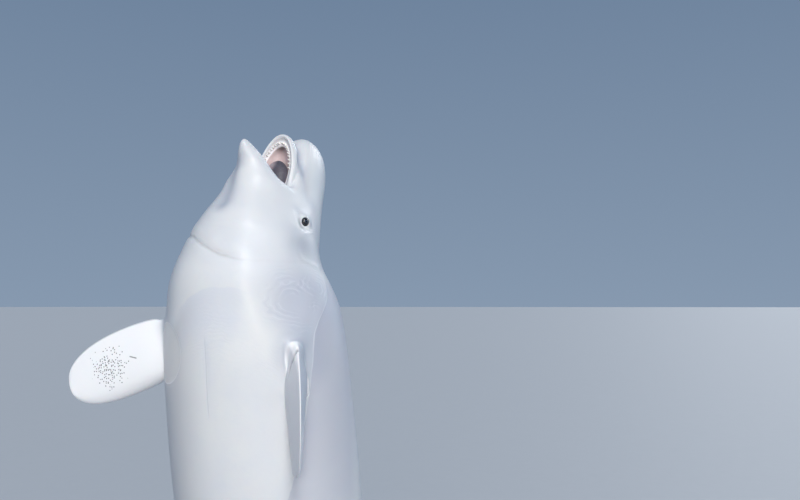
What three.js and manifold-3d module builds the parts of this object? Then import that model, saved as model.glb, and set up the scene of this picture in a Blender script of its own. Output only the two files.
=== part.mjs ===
// A life-size beluga whale, upright with its mouth open and its back arched, on a plain display stand.
// Millimetres, +Z up. The whale's nose points up, its belly faces -Y and its left side faces +X.
// The origin is the middle of the underside of the stand's base.

import * as THREE from "three";
import { mergeVertices } from "three/addons/utils/BufferGeometryUtils.js";
import Module from "manifold-3d";

const wasm = await Module();
wasm.setup();

// Driving dimensions
const partGap = 0.3; // between touching pieces
const chestHeight = 3300; // middle of the chest above the floor
const chestForward = -455; // middle of the chest in Y, so that the base is centred under the whole
const chestToNotch = 3416; // along the body's axis, from the flippers' level to the notch of the flukes
const chestLean = -8; // degrees the chest leans towards the belly as it rises
const tailLean = -42; // the same at the flukes
const tailCurve = 1.5; // how late the tail's bend comes
const headLean = 17; // degrees the head is thrown back
const gape = 57.5; // degrees between the jaws
const mouthCorner = { y: 72, z: 634 }; // from the middle of the chest
const lipSag = 20; // how far the lips droop near the corner of the mouth
const lipSagSpread = { upper: 0.3, lower: 0.68 }; // share of each jaw's length it reaches
const throatEndAt = { f: -172, d: -2 }; // in the head's own directions
const neckFrontHeight = 520; // the plane between neck and head, at the reach of the cuts
const neckBackHeight = 300;
const creaseHeight = 318; // the fold between neck and chest
const creaseRise = 0.17; // how much it rises towards the belly
const chestEnd = 560; // along the body's axis
const bellyEnd = 1850;
const throatCutForward = -60;
const jawCutReach = 420;
const cutReach = 900;

const eyeAt = { x: 212, y: 29, z: 482 };
const eyeRadius = 22;
const eyeTurn = 24; // degrees it looks from straight sideways towards the belly
const lidOut = 14; // from the eye's middle to the plane of its lids
const lidHalfWidth = 19;
const eyeMoundRadius = 46; // the low swelling the eye sits in
const eyeMoundDepth = 20;
const earAt = { x: 220, y: 85, z: 425 };
const earRadius = 6;
const blowholeAt = { f: -60, d: 287 };
const blowholeHalfWidth = 34;
const blowholeBow = 14;
const blowholeDepth = 9;
const tongueAt = { x: 12, f: 36, d: 12 }; // a little to the left of the mouth's middle
const tongueHalfLength = 108;
const tongueHalfWidth = 67;
const tongueHalfThickness = 43;
const tongueLean = 17;
const upperTeethEachSide = 11;
const upperTeethSpread = { from: 3, to: 66 }; // degrees round the gum, from its front
const lowerTeethEachSide = 9;
const lowerTeethSpread = { from: 171, to: 118 };
const toothRadius = 5;
const toothHeight = 11;
const toothRoot = 9;
const toothSides = 5;

const flipperLength = 525;
const flipperHalfWidth = 146;
const flipperWidest = 0.5; // share of the length where it is widest
const flipperRootThickness = 108;
const flipperTipThickness = 26;
const flipperPose = {
  left: {
    azimuth: 40.5,
    rootSpread: 66.5,
    rootReach: 300,
    rootHeight: -90,
    elbowOut: 160,
    elbowDown: 20,
    droop: 88,
  },
  right: {
    azimuth: 70,
    rootSpread: 58,
    rootReach: 290,
    rootHeight: -8,
    elbowOut: 200,
    elbowDown: 63,
    droop: 25,
  },
};
const flipperEdgeShare = 1.09; // evens the thickness of its wedge-shaped section
const flukeHalfSpan = 500;
const flukeRootAt = 20;
const flukeRootChord = 330;
const flukeSweepEnd = 26;
const flukeBulge = 84;
const flukeLift = 18;
const flukeRootThickness = 54;
const flukeTipThickness = 12;
const limbPoints = 16;
const flipperSections = 13;
const flukeSections = 13;

const baseWidth = 1700;
const baseDepth = 1900;
const baseHeight = 60;
const baseCorner = 220;
const rodRadius = 45;
const rodFootRadius = 120;
const rodFootHeight = 24;
const rodHeadRadius = 80;
const rodHeadHeight = 150;
const frontRodAt = -160;
const rearRodAt = 260;
const ringPoints = 32;
const ringsBetween = { body: 2, head: 2, mouth: 1 };

// Skin colours, and the finishes of the other pieces
const skin = () => new THREE.MeshStandardMaterial({ color: 0xe6e8ee, roughness: 0.38, metalness: 0 });
const tongueFlesh = () => new THREE.MeshStandardMaterial({ color: 0x7d6066, roughness: 0.4, metalness: 0 });
const eyeball = () => new THREE.MeshStandardMaterial({ color: 0x14161d, roughness: 0.08, metalness: 0 });
const paint = () => new THREE.MeshStandardMaterial({ color: 0x3b3f45, roughness: 0.5, metalness: 0.1 });
const steel = () => new THREE.MeshStandardMaterial({ color: 0x9b9ea3, roughness: 0.35, metalness: 0.9 });

const radians = THREE.MathUtils.degToRad;
const mix = THREE.MathUtils.lerp;
const sin = (degrees) => Math.sin(radians(degrees));
const cos = (degrees) => Math.cos(radians(degrees));
const bell = (x, width) => Math.exp(-((x / width) ** 2));

// Places in the whale's middle plane, as {y, z} from the middle of the chest

// f is forward along the upper jaw from the corner of the mouth, and d towards the back.
function headPlace(f, d) {
  return {
    y: mouthCorner.y + f * sin(headLean) + d * cos(headLean),
    z: mouthCorner.z + f * cos(headLean) - d * sin(headLean),
  };
}

// r is along the lower jaw from the corner of the mouth, and h towards the upper jaw.
function jawPlace(r, h) {
  return headPlace(r * cos(gape) + h * sin(gape), -r * sin(gape) + h * cos(gape));
}

function leanAt(s) {
  return chestLean + (tailLean - chestLean) * Math.max(0, s / chestToNotch) ** tailCurve;
}

// The body's axis, s tailwards from the chest, found by adding up short steps.
function axisPlace(s) {
  const steps = 64;
  const place = { y: 0, z: 0 };
  for (let i = 0; i < steps; i++) {
    const lean = leanAt((s * (i + 0.5)) / steps);
    place.y -= (sin(lean) * s) / steps;
    place.z -= (cos(lean) * s) / steps;
  }
  return place;
}

// One station of the body: half-width, and the reach to the back and to the belly.
function bodyStation(s, halfWidth, toBack, toBelly, ridge = 0) {
  const c = axisPlace(s);
  const lean = leanAt(s);
  const across = (reach) => ({ y: c.y + reach * cos(lean), z: c.z - reach * sin(lean) });
  const [back, belly] = [across(toBack), across(-toBelly)];
  return { back, flank: c, belly, halfWidth, ridge, turn: 1, full: 2.1, taper: 0, sag: 0 };
}

// One station of the head: turn is how softly the ring bends at its side, taper how much the jaw narrows,
// and sag the share of the lips' droop.
function headStation(back, flank, halfWidth, belly, turn, taper = 0, sag = 0) {
  return { back, flank, belly, halfWidth, ridge: 0, turn, full: 2, taper, sag };
}

// Tail tip to shoulder. The last number is the height of the ridge along the back.
const bodyStations = [
  bodyStation(3395, 12, 10, 10),
  bodyStation(3300, 38, 34, 34),
  bodyStation(3180, 48, 62, 62),
  bodyStation(3020, 62, 96, 92),
  bodyStation(2780, 104, 140, 132),
  bodyStation(2450, 172, 196, 184),
  bodyStation(2050, 248, 258, 244, 8),
  bodyStation(1600, 318, 318, 306, 14),
  bodyStation(1100, 366, 358, 352, 9),
  bodyStation(600, 382, 376, 372),
  bodyStation(200, 376, 370, 368),
  bodyStation(0, 367, 362, 362),
];

const shoulderStations = [
  headStation({ y: 346, z: 140 }, { y: -13, z: 133 }, 350, { y: -366, z: 125 }, 1),
  headStation({ y: 312, z: 206 }, { y: -30, z: 234 }, 322, { y: -364, z: 262 }, 1),
  headStation({ y: 272, z: 266 }, { y: -24, z: 322 }, 284, { y: -314, z: 384 }, 1),
];

// Neck crease to the rim of the lips, which is the last. The rings fan round the corner of the mouth.
const headStations = [
  headStation(headPlace(-232, 264), headPlace(-258, -20), 266, headPlace(-286, -276), 1),
  headStation(headPlace(-186, 277), headPlace(-220, -14), 249, headPlace(-252, -275), 1),
  headStation(headPlace(-104, 298), headPlace(-160, -8), 221, headPlace(-196, -262), 0.9),
  headStation(headPlace(-6, 314), headPlace(-112, -5), 194, headPlace(-140, -238), 0.8),
  headStation(headPlace(98, 325), headPlace(-80, -2), 174, headPlace(-78, -214), 0.7),
  headStation(headPlace(201, 329), headPlace(-54, 0), 159, headPlace(-18, -205), 0.6),
  headStation(headPlace(295, 293), headPlace(-36, 0), 150, jawPlace(184, -86), 0.5, 0.15, 0.3),
  headStation(headPlace(333, 222), headPlace(-24, 0), 142, jawPlace(208, -62), 0.42, 0.35, 0.5),
  headStation(headPlace(325, 141), headPlace(-15, 0), 132, jawPlace(228, -50), 0.34, 0.45, 0.7),
  headStation(headPlace(266, 82), headPlace(-8, 0), 120, jawPlace(244, -38), 0.28, 0.5, 0.85),
  headStation(headPlace(278, 46), headPlace(-2, 0), 117, jawPlace(256, -24), 0.22, 0.54, 0.95),
  headStation(headPlace(282, 20), headPlace(3, 0), 112, jawPlace(259, -9), 0.16, 0.58, 1),
  headStation(headPlace(272, 0), headPlace(4, 0), 104, jawPlace(252, 3), 0.12, 0.62, 1),
];

// Rim of the lips to the throat, inside the mouth.
const mouthStations = [
  headStation(headPlace(262, 6), headPlace(1, 0), 99, jawPlace(243, -4), 0.12, 0.56, 1),
  headStation(headPlace(249, 17), headPlace(-3, 2), 95, jawPlace(237, -12), 0.14, 0.56, 1),
  headStation(headPlace(233, 15), headPlace(-9, 4), 89, jawPlace(229, -6), 0.16, 0.54, 1),
  headStation(headPlace(219, 29), headPlace(-17, 3), 81, jawPlace(217, -17), 0.2, 0.5, 1),
  headStation(headPlace(198, 47), headPlace(-36, 0), 70, jawPlace(185, -26), 0.3, 0.4, 0.8),
  headStation(headPlace(128, 60), headPlace(-70, 2), 57, jawPlace(112, -34), 0.5, 0.25, 0.4),
  headStation(headPlace(28, 58), headPlace(-108, 2), 46, jawPlace(28, -42), 0.7, 0.1),
  headStation(headPlace(-70, 38), headPlace(-136, 0), 30, headPlace(-112, -44), 0.9),
];
const gumStation = 2; // of mouthStations

// The way from the lower jaw towards the throat.
const jawBack = { y: -cos(headLean - gape), z: sin(headLean - gape) };

// A point of a station's ring. angle is 0 on the back, a quarter turn on the left flank and
// half a turn on the belly.
function ringPoint(station, angle, grow = 0) {
  const { back, flank, belly, halfWidth, ridge, turn, full, taper, sag } = station;
  const c = Math.cos(angle);
  const s = Math.sin(angle);
  const soft = (t) => (t + Math.sqrt(t * t + (turn * 0.3) ** 2 * (1 - t * t))) / 2;
  const bent = Math.sign(c) * Math.abs(c) ** (2 / full);
  const up = turn === 1 ? Math.max(bent, 0) : soft(bent);
  const down = turn === 1 ? Math.max(-bent, 0) : soft(-bent);
  const narrowed = 1 - taper * Math.max(-c, 0);
  const side = (halfWidth + grow) * Math.sign(s) * Math.abs(s) ** (2 / full) * narrowed;
  const reach = (end) => {
    const length = Math.hypot(end.y - flank.y, end.z - flank.z) || 1;
    return 1 + grow / length;
  };
  const lift = (ridge * bell(angle > Math.PI ? angle - 2 * Math.PI : angle, 0.16)) / 300 + reach(back);
  const droop = sag * lipSag * Math.exp(-((c / (c < 0 ? lipSagSpread.lower : lipSagSpread.upper)) ** 4));
  const toBack = up * lift;
  const toBelly = down * reach(belly);
  return new THREE.Vector3(
    side,
    flank.y + (back.y - flank.y) * toBack + (belly.y - flank.y) * toBelly + droop * jawBack.y,
    flank.z + (back.z - flank.z) * toBack + (belly.z - flank.z) * toBelly + droop * jawBack.z,
  );
}

// Rings between the given stations, on smooth curves through them.
function blendStations(stations, between) {
  const curve = (pick) => new THREE.CatmullRomCurve3(stations.map(pick), false, "centripetal");
  const backs = curve((k) => new THREE.Vector3(k.ridge, k.back.y, k.back.z));
  const flanks = curve((k) => new THREE.Vector3(k.halfWidth, k.flank.y, k.flank.z));
  const bellies = curve((k) => new THREE.Vector3(0, k.belly.y, k.belly.z));
  const last = stations.length - 1;
  const rings = [];
  stations.forEach((station, i) => {
    rings.push(station);
    for (let j = 1; j < between[i] && i < last; j++) {
      const share = j / between[i];
      const t = (i + share) / last;
      const [b, f, v] = [backs, flanks, bellies].map((line) => line.getPoint(t));
      const next = stations[i + 1];
      rings.push({
        back: { y: b.y, z: b.z },
        flank: { y: f.y, z: f.z },
        belly: { y: v.y, z: v.z },
        halfWidth: f.x,
        ridge: Math.max(b.x, 0),
        turn: mix(station.turn, next.turn, share),
        full: mix(station.full, next.full, share),
        taper: mix(station.taper, next.taper, share),
        sag: mix(station.sag, next.sag, share),
      });
    }
  });
  return rings;
}

// A closed surface through rings of points, each with as many points, capped with a fan at both ends.
function loft(rings, firstPole, lastPole) {
  const n = rings[0].length;
  const points = [firstPole, ...rings.flat(), lastPole];
  const index = [];
  const at = (ring, i) => 1 + ring * n + (i % n);
  for (let i = 0; i < n; i++) {
    index.push(0, at(0, i + 1), at(0, i));
    index.push(points.length - 1, at(rings.length - 1, i), at(rings.length - 1, i + 1));
    for (let r = 0; r < rings.length - 1; r++) {
      index.push(at(r, i), at(r, i + 1), at(r + 1, i + 1), at(r, i), at(r + 1, i + 1), at(r + 1, i));
    }
  }
  const geometry = new THREE.BufferGeometry().setFromPoints(points);
  geometry.setIndex(index);
  return geometry;
}

// A closed three.js geometry as a solid for joining and cutting.
function solidOf(geometry) {
  const bare = geometry.clone();
  bare.deleteAttribute("normal");
  bare.deleteAttribute("uv");
  const merged = mergeVertices(bare, 1e-4);
  const solid = new wasm.Manifold(
    new wasm.Mesh({
      numProp: 3,
      vertProperties: new Float32Array(merged.attributes.position.array),
      triVerts: new Uint32Array(merged.index.array),
    }),
  );
  if (solid.volume() >= 0) return solid;
  const turned = merged.clone();
  const flipped = Array.from(turned.index.array);
  for (let i = 0; i < flipped.length; i += 3) {
    [flipped[i + 1], flipped[i + 2]] = [flipped[i + 2], flipped[i + 1]];
  }
  turned.setIndex(flipped);
  return solidOf(turned);
}

// The whole skin of head, mouth and body as one solid. grow moves it outwards.
const allStations = [...bodyStations, ...shoulderStations, ...headStations, ...mouthStations];
const firstHead = bodyStations.length + shoulderStations.length;
const firstMouth = firstHead + headStations.length;
const between = allStations.map((_, i) =>
  i < firstHead - 1 ? ringsBetween.body : i < firstMouth - 1 ? ringsBetween.head : ringsBetween.mouth,
);
const allRings = blendStations(allStations, between);

const toWorld = (p) => new THREE.Vector3(p.x, p.y + chestForward, p.z + chestHeight);
const inPlane = (place) => new THREE.Vector3(0, place.y, place.z);

function bodySolid(grow = 0) {
  const rings = allRings.map((ring) =>
    Array.from({ length: ringPoints }, (_, i) =>
      toWorld(ringPoint(ring, (2 * Math.PI * i) / ringPoints, grow)),
    ),
  );
  const tailPole = toWorld(inPlane(axisPlace(chestToNotch)));
  const throatPole = toWorld(inPlane(headPlace(throatEndAt.f, throatEndAt.d)));
  return solidOf(loft(rings, tailPole, throatPole));
}

const flesh = bodySolid();

// Joining, cutting and choosing solids

const largest = (solid) => solid.decompose().reduce((a, b) => (a.volume() > b.volume() ? a : b));
const shifted = (geometry, x, y, z) => geometry.clone().translate(x, y, z);

// A prism across the whole animal from an outline of {y, z} places.
function sheetAcross(outline) {
  const shape = new THREE.Shape(outline.map((p) => new THREE.Vector2(p.y, p.z)));
  const geometry = new THREE.ExtrudeGeometry(shape, { depth: 2 * cutReach, bevelEnabled: false });
  const turn = new THREE.Matrix4().makeBasis(
    new THREE.Vector3(0, 1, 0),
    new THREE.Vector3(0, 0, 1),
    new THREE.Vector3(1, 0, 0),
  );
  geometry.applyMatrix4(turn);
  return solidOf(shifted(geometry, -cutReach, chestForward, chestHeight));
}

// A cut as thin as the gap between pieces, along a path of {y, z} places.
function cutAlong(path) {
  const half = partGap / 2;
  const sideOf = (i) => {
    const from = path[Math.max(i - 1, 0)];
    const to = path[Math.min(i + 1, path.length - 1)];
    const length = Math.hypot(to.y - from.y, to.z - from.z);
    return { y: (-(to.z - from.z) / length) * half, z: ((to.y - from.y) / length) * half };
  };
  const near = path.map((p, i) => ({ y: p.y + sideOf(i).y, z: p.z + sideOf(i).z }));
  const far = path.map((p, i) => ({ y: p.y - sideOf(i).y, z: p.z - sideOf(i).z })).reverse();
  return sheetAcross([...near, ...far]);
}

// A straight cut through the body at s along its axis.
function cutBodyAt(s) {
  const c = axisPlace(s);
  const lean = leanAt(s);
  const end = (reach) => ({ y: c.y + reach * cos(lean), z: c.z - reach * sin(lean) });
  return cutAlong([end(-cutReach), end(cutReach)]);
}

// A flat limb: sections, each with its middle, its directions, its half-chord and its half-thickness.
// swell(x) says how thick it is at x along the chord, which is 1 at the leading edge and -1 at the other.
function limb(sections, root, tip, swell) {
  const rings = sections.map(({ middle, ahead, face, half, thick }) =>
    Array.from({ length: limbPoints }, (_, i) => {
      const angle = (2 * Math.PI * i) / limbPoints;
      const along = Math.cos(angle) * half;
      const through = Math.sin(angle) * thick * swell(Math.cos(angle));
      return middle.clone().addScaledVector(ahead, along).addScaledVector(face, through);
    }),
  );
  return solidOf(loft(rings, root, tip));
}
const wedge = (x) => Math.sqrt(Math.max(1 - x, 0)) / flipperEdgeShare;
const bladed = (x) => 1 + 0.35 * x;

// A flipper is a broad paddle whose axis curves in an upright plane. azimuth turns that plane from the
// belly towards the flank, and droop is how far the tip end of the axis hangs below the level.
function flipper(side, { azimuth, rootHeight, rootSpread, rootReach, elbowOut, elbowDown, droop }) {
  const out = new THREE.Vector3(side * sin(azimuth), -cos(azimuth), 0);
  const up = new THREE.Vector3(0, 0, 1);
  const face = new THREE.Vector3().crossVectors(out, up);
  const root = new THREE.Vector3(side * sin(rootSpread), -cos(rootSpread), 0).multiplyScalar(rootReach);
  root.z = rootHeight;
  const bend = root.clone().addScaledVector(out, elbowOut).addScaledVector(up, -elbowDown);
  const tip = bend.clone();
  tip.addScaledVector(out, (flipperLength - elbowOut) * cos(droop));
  tip.addScaledVector(up, -(flipperLength - elbowOut) * sin(droop));
  const axis = new THREE.QuadraticBezierCurve3(root, bend, tip);
  const sections = [];
  for (let i = 0; i < flipperSections; i++) {
    const t = 1 - (1 - i / flipperSections) ** 1.5;
    const along = axis.getTangent(t);
    const ahead = new THREE.Vector3().crossVectors(face, along).normalize();
    if (ahead.dot(up) + ahead.dot(out) < 0) ahead.negate();
    const beyond = Math.max((t - flipperWidest) / (1 - flipperWidest), 0);
    const before = Math.max((flipperWidest - t) / flipperWidest, 0);
    const half = flipperHalfWidth * (1 - beyond ** 2.6) ** (1 / 2.6) * (1 - 0.24 * before ** 2);
    const thick = mix(flipperRootThickness, flipperTipThickness, t ** 1.5) / 2;
    const rounded = Math.min(thick, half * 0.3 + 3);
    sections.push({ middle: toWorld(axis.getPoint(t)), ahead, face, half, thick: rounded });
  }
  return limb(sections, toWorld(root), toWorld(tip), wedge);
}

// A fluke grows sideways from the end of the tail stock. Its trailing edge bulges between notch and tip.
function fluke(side) {
  const sections = [];
  for (let i = 0; i < flukeSections; i++) {
    const share = (i / flukeSections) ** 0.85;
    const x = mix(flukeRootAt, flukeHalfSpan, share);
    const lead = chestToNotch - flukeRootChord * (1 - share ** 1.5) - flukeSweepEnd * share ** 1.5;
    const trail = chestToNotch + flukeBulge * Math.sin(Math.PI * share ** 0.8) * (1 - 0.35 * share);
    const s = (lead + trail) / 2;
    const lean = leanAt(chestToNotch - flukeRootChord / 2);
    const c = axisPlace(chestToNotch - flukeRootChord / 2);
    const ahead = new THREE.Vector3(0, sin(lean), cos(lean));
    const face = new THREE.Vector3(0, cos(lean), -sin(lean));
    const half = Math.max((trail - lead) / 2, 4);
    const middle = new THREE.Vector3(side * x, c.y, c.z)
      .addScaledVector(ahead, chestToNotch - flukeRootChord / 2 - s)
      .addScaledVector(face, flukeLift * share ** 2);
    const thick = mix(flukeRootThickness, flukeTipThickness, share ** 0.6) / 2;
    sections.push({ middle: toWorld(middle), ahead, face, half, thick });
  }
  const last = sections.at(-1).middle.clone();
  const first = sections[0].middle.clone();
  last.x = side * (flukeHalfSpan + 6);
  first.x = side * (flukeRootAt - 4);
  return limb(sections, first, last, bladed);
}

// Teeth are short tapered pegs round a gum. place(side, share) gives a spot on it, and rise their
// outward way.
function teethRow(count, place, rise) {
  const pegs = [];
  for (const side of [1, -1]) {
    for (let i = 0; i < count; i++) {
      const share = (i + 0.5) / count;
      const spot = place(side, share);
      const peg = new THREE.LatheGeometry(
        [
          [0, -toothRoot],
          [toothRadius, -toothRoot],
          [toothRadius * 0.6, toothHeight],
          [0, toothHeight],
        ].map(([r, h]) => new THREE.Vector2(r, h)),
        toothSides,
      );
      peg.applyQuaternion(new THREE.Quaternion().setFromUnitVectors(new THREE.Vector3(0, 1, 0), rise));
      pegs.push(solidOf(shifted(peg, ...toWorld(spot).toArray())));
    }
  }
  return pegs;
}

// The gum is the crest of the mouth's third ring.
const gumRing = mouthStations[gumStation];
const upperRise = new THREE.Vector3(0, -cos(headLean), sin(headLean));
const lowerRise = new THREE.Vector3(0, cos(headLean - gape), -sin(headLean - gape));
function gumSpot({ from, to }) {
  return (side, share) => ringPoint(gumRing, side * radians(mix(from, to, share)));
}
const teeth = [
  ...teethRow(upperTeethEachSide, gumSpot(upperTeethSpread), upperRise),
  ...teethRow(lowerTeethEachSide, gumSpot(lowerTeethSpread), lowerRise),
];

// The eye sits in a socket in a low swelling, whose rim is its lids.
function eyePlace(side) {
  return toWorld(new THREE.Vector3(side * eyeAt.x, eyeAt.y, eyeAt.z)).toArray();
}
function eyeMound(side) {
  const profile = [
    [0, -eyeMoundDepth],
    [eyeMoundRadius, -eyeMoundDepth * 0.7],
    [eyeMoundRadius * 0.78, lidOut * 0.15],
    [eyeMoundRadius * 0.55, lidOut * 0.85],
    [lidHalfWidth, lidOut],
    [0, lidOut],
  ].map(([r, h]) => new THREE.Vector2(r, h));
  const mound = new THREE.LatheGeometry(profile, 20);
  mound.rotateZ(-Math.PI / 2);
  if (side < 0) mound.rotateZ(Math.PI);
  mound.rotateZ(radians(-side * eyeTurn));
  return solidOf(shifted(mound, ...eyePlace(side)));
}
function eyeSolid(side, radius) {
  return solidOf(shifted(new THREE.SphereGeometry(radius, 14, 10), ...eyePlace(side)));
}

// The blowhole is a crescent groove on top of the head, and each ear a pinhole behind the eye.
function blowholeGroove() {
  const points = [-1, -0.5, 0, 0.5, 1].map((t) => {
    const place = headPlace(blowholeAt.f - blowholeBow * (1 - t * t), blowholeAt.d);
    return toWorld(new THREE.Vector3(t * blowholeHalfWidth, place.y, place.z));
  });
  const section = new THREE.Shape().absellipse(0, 0, blowholeDepth / 2, blowholeDepth, 0, 2 * Math.PI);
  const path = new THREE.CatmullRomCurve3(points);
  return solidOf(new THREE.ExtrudeGeometry(section, { steps: 12, extrudePath: path, curveSegments: 5 }));
}
function earHole(side) {
  const ball = new THREE.SphereGeometry(earRadius, 8, 6);
  return solidOf(shifted(ball, ...toWorld(new THREE.Vector3(side * earAt.x, earAt.y, earAt.z)).toArray()));
}

// The tongue is a thick dome raised towards the palate, with its root on the floor of the mouth.
function tongueSolid(grow) {
  const dome = new THREE.SphereGeometry(1, 18, 12);
  dome.scale(tongueHalfWidth + grow, tongueHalfThickness + grow, tongueHalfLength + grow);
  dome.rotateX(radians(-tongueLean));
  const place = headPlace(tongueAt.f, tongueAt.d);
  return solidOf(shifted(dome, ...toWorld(new THREE.Vector3(tongueAt.x, place.y, place.z)).toArray()));
}

// Joining the flesh, then parting it with thin cuts

const tongue = tongueSolid(0);
let body = teeth.reduce((solid, peg) => solid.add(peg), flesh).subtract(tongueSolid(partGap));
for (const side of [1, -1]) {
  body = body.add(eyeMound(side));
  body = body.subtract(eyeSolid(side, eyeRadius + partGap));
  body = body.subtract(earHole(side));
}
body = largest(body.subtract(blowholeGroove()));

const farBack = { y: cutReach, z: neckBackHeight };
const farFront = { y: -cutReach, z: neckFrontHeight };
const neckAt = (y) => mix(neckFrontHeight, neckBackHeight, (y + cutReach) / (2 * cutReach));
const throatCut = { y: throatCutForward, z: neckAt(throatCutForward) - partGap };
const jawsMiddle = headPlace(jawCutReach * cos(gape / 2), -jawCutReach * sin(gape / 2));
const cuts = [
  cutAlong([jawsMiddle, mouthCorner, headPlace(throatEndAt.f, throatEndAt.d), throatCut]),
  cutAlong([farFront, farBack]),
  cutAlong([
    { y: -cutReach, z: creaseHeight + creaseRise * cutReach },
    { y: cutReach, z: creaseHeight - creaseRise * cutReach },
  ]),
  cutBodyAt(chestEnd),
  cutBodyAt(bellyEnd),
];
const parted = cuts.reduce((solid, cut) => solid.subtract(cut), body).decompose();

// The flesh piece that holds or is nearest to a place, by the middle of its box.
function pieceNear(place) {
  const target = toWorld(place);
  const distance = (solid) => {
    const box = solid.boundingBox();
    const middle = [0, 1, 2].map((i) => (box.min[i] + box.max[i]) / 2);
    return Math.hypot(middle[0] - target.x, middle[1] - target.y, middle[2] - target.z);
  };
  const big = parted.filter((solid) => solid.volume() > 1e6);
  return big.reduce((a, b) => (distance(a) < distance(b) ? a : b));
}

const grown = bodySolid(partGap);
const offBody = (solid) => largest(solid.subtract(grown));

// Display stand: a rounded plate, and rods with a foot and a widened head cut to the whale's underside
function plate(width, depth, height, corner) {
  const shape = new THREE.Shape();
  const [w, d] = [width / 2 - corner, depth / 2 - corner];
  shape.absarc(w, d, corner, 0, Math.PI / 2);
  shape.absarc(-w, d, corner, Math.PI / 2, Math.PI);
  shape.absarc(-w, -d, corner, Math.PI, 1.5 * Math.PI);
  shape.absarc(w, -d, corner, 1.5 * Math.PI, 2 * Math.PI);
  return new THREE.ExtrudeGeometry(shape, { depth: height, bevelEnabled: false, curveSegments: 8 });
}

// Height of the whale's underside above the floor at a place along the stand.
function undersideAt(y) {
  let low = 0;
  for (let s = 0; s < chestToNotch; s += 10) {
    const c = axisPlace(s);
    const lean = leanAt(s);
    const station = bodyStations.find((k) => k.flank.z >= c.z) ?? bodyStations.at(-1);
    const depth = Math.hypot(station.belly.y - station.flank.y, station.belly.z - station.flank.z);
    if (c.y + chestForward - depth * cos(lean) <= y) low = c.z + chestHeight + depth * sin(lean);
  }
  return low;
}

function standRod(y) {
  const top = undersideAt(y);
  const floor = baseHeight + partGap;
  const profile = [
    [0, floor],
    [rodFootRadius, floor],
    [rodFootRadius, floor + rodFootHeight],
    [rodRadius, floor + rodFootHeight],
    [rodRadius, top - rodHeadHeight],
    [rodHeadRadius, top - rodHeadHeight * 0.4],
    [rodHeadRadius, top + rodHeadRadius * 2],
    [0, top + rodHeadRadius * 2],
  ].map(([r, h]) => new THREE.Vector2(r, h));
  const rod = new THREE.LatheGeometry(profile, 28);
  rod.rotateX(Math.PI / 2);
  const pieces = solidOf(shifted(rod, 0, y, 0)).subtract(grown).decompose();
  return pieces.reduce((a, b) => (a.boundingBox().min[2] < b.boundingBox().min[2] ? a : b));
}

const group = new THREE.Group();
function addNode(name, solid, material) {
  const m = solid.getMesh();
  const geometry = new THREE.BufferGeometry();
  geometry.setAttribute("position", new THREE.BufferAttribute(m.vertProperties.slice(), 3));
  geometry.setIndex(new THREE.BufferAttribute(m.triVerts.slice(), 1));
  geometry.computeVertexNormals();
  const mesh = new THREE.Mesh(geometry, material);
  mesh.name = name;
  group.add(mesh);
}

addNode("head", pieceNear({ x: 0, y: 220, z: 660 }), skin());
addNode("lower_jaw", pieceNear({ x: 0, y: -110, z: 600 }), skin());
addNode("neck", pieceNear({ x: 0, y: -20, z: 380 }), skin());
addNode("chest", pieceNear({ x: 0, y: 0, z: -100 }), skin());
addNode("belly", pieceNear({ x: 0, y: 200, z: -1200 }), skin());
addNode("tail_stock", pieceNear({ x: 0, y: 700, z: -2700 }), skin());
addNode("tongue", tongue, tongueFlesh());
for (const [side, hand] of [
  [1, "left"],
  [-1, "right"],
]) {
  addNode(`${hand}_eye`, eyeSolid(side, eyeRadius), eyeball());
  addNode(`${hand}_flipper`, offBody(flipper(side, flipperPose[hand])), skin());
  addNode(`${hand}_fluke`, offBody(fluke(side)), skin());
}
addNode("stand_base", solidOf(plate(baseWidth, baseDepth, baseHeight, baseCorner)), paint());
addNode("stand_rod_front", standRod(frontRodAt), steel());
addNode("stand_rod_rear", standRod(rearRodAt), steel());

export default group;
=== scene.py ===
"""The looks of a life-size beluga whale on a display stand: one skin with its mouth, lids and fins,
the eyes, the teeth, the tongue, the stand, and a plain stage."""

import math

import bmesh
import bpy
import numpy as np
from mathutils import Matrix, Vector, noise
from mathutils.kdtree import KDTree


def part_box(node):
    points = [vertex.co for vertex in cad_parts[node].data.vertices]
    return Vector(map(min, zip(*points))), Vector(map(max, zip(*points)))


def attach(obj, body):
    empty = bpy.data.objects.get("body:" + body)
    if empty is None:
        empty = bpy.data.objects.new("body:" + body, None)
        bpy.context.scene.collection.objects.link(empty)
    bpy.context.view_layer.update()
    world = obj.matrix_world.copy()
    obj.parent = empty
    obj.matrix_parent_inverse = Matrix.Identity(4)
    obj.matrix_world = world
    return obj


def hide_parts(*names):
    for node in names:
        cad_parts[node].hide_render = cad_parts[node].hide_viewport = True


bl_info = {
    "name": "Beluga whale display model",
    "version": (1, 0, 0),
    "blender": (4, 5, 0),
    "location": "View3D > Sidebar > Beluga",
    "description": "Builds the skin, eyes, teeth, tongue and stand of a life-size beluga whale model",
    "category": "Object",
}

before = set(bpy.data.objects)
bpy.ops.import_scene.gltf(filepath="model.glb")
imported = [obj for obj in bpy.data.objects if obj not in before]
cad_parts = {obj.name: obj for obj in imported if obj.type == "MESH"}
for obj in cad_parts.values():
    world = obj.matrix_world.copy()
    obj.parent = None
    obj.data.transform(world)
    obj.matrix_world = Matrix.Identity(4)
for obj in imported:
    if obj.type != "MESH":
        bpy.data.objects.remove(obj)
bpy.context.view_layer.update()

# Sizes of the animal, in millimetres from the middle of the chest, as in the solids

MM = 0.001
CHEST = np.array([0.0, -0.455, 3.3])  # the middle of the chest in the frame, in metres
CHEST_TO_NOTCH = 3416
CHEST_LEAN = -8
TAIL_LEAN = -42
TAIL_CURVE = 1.5
HEAD_LEAN = 17
GAPE = 57.5
MOUTH_CORNER = (72, 634)


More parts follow.
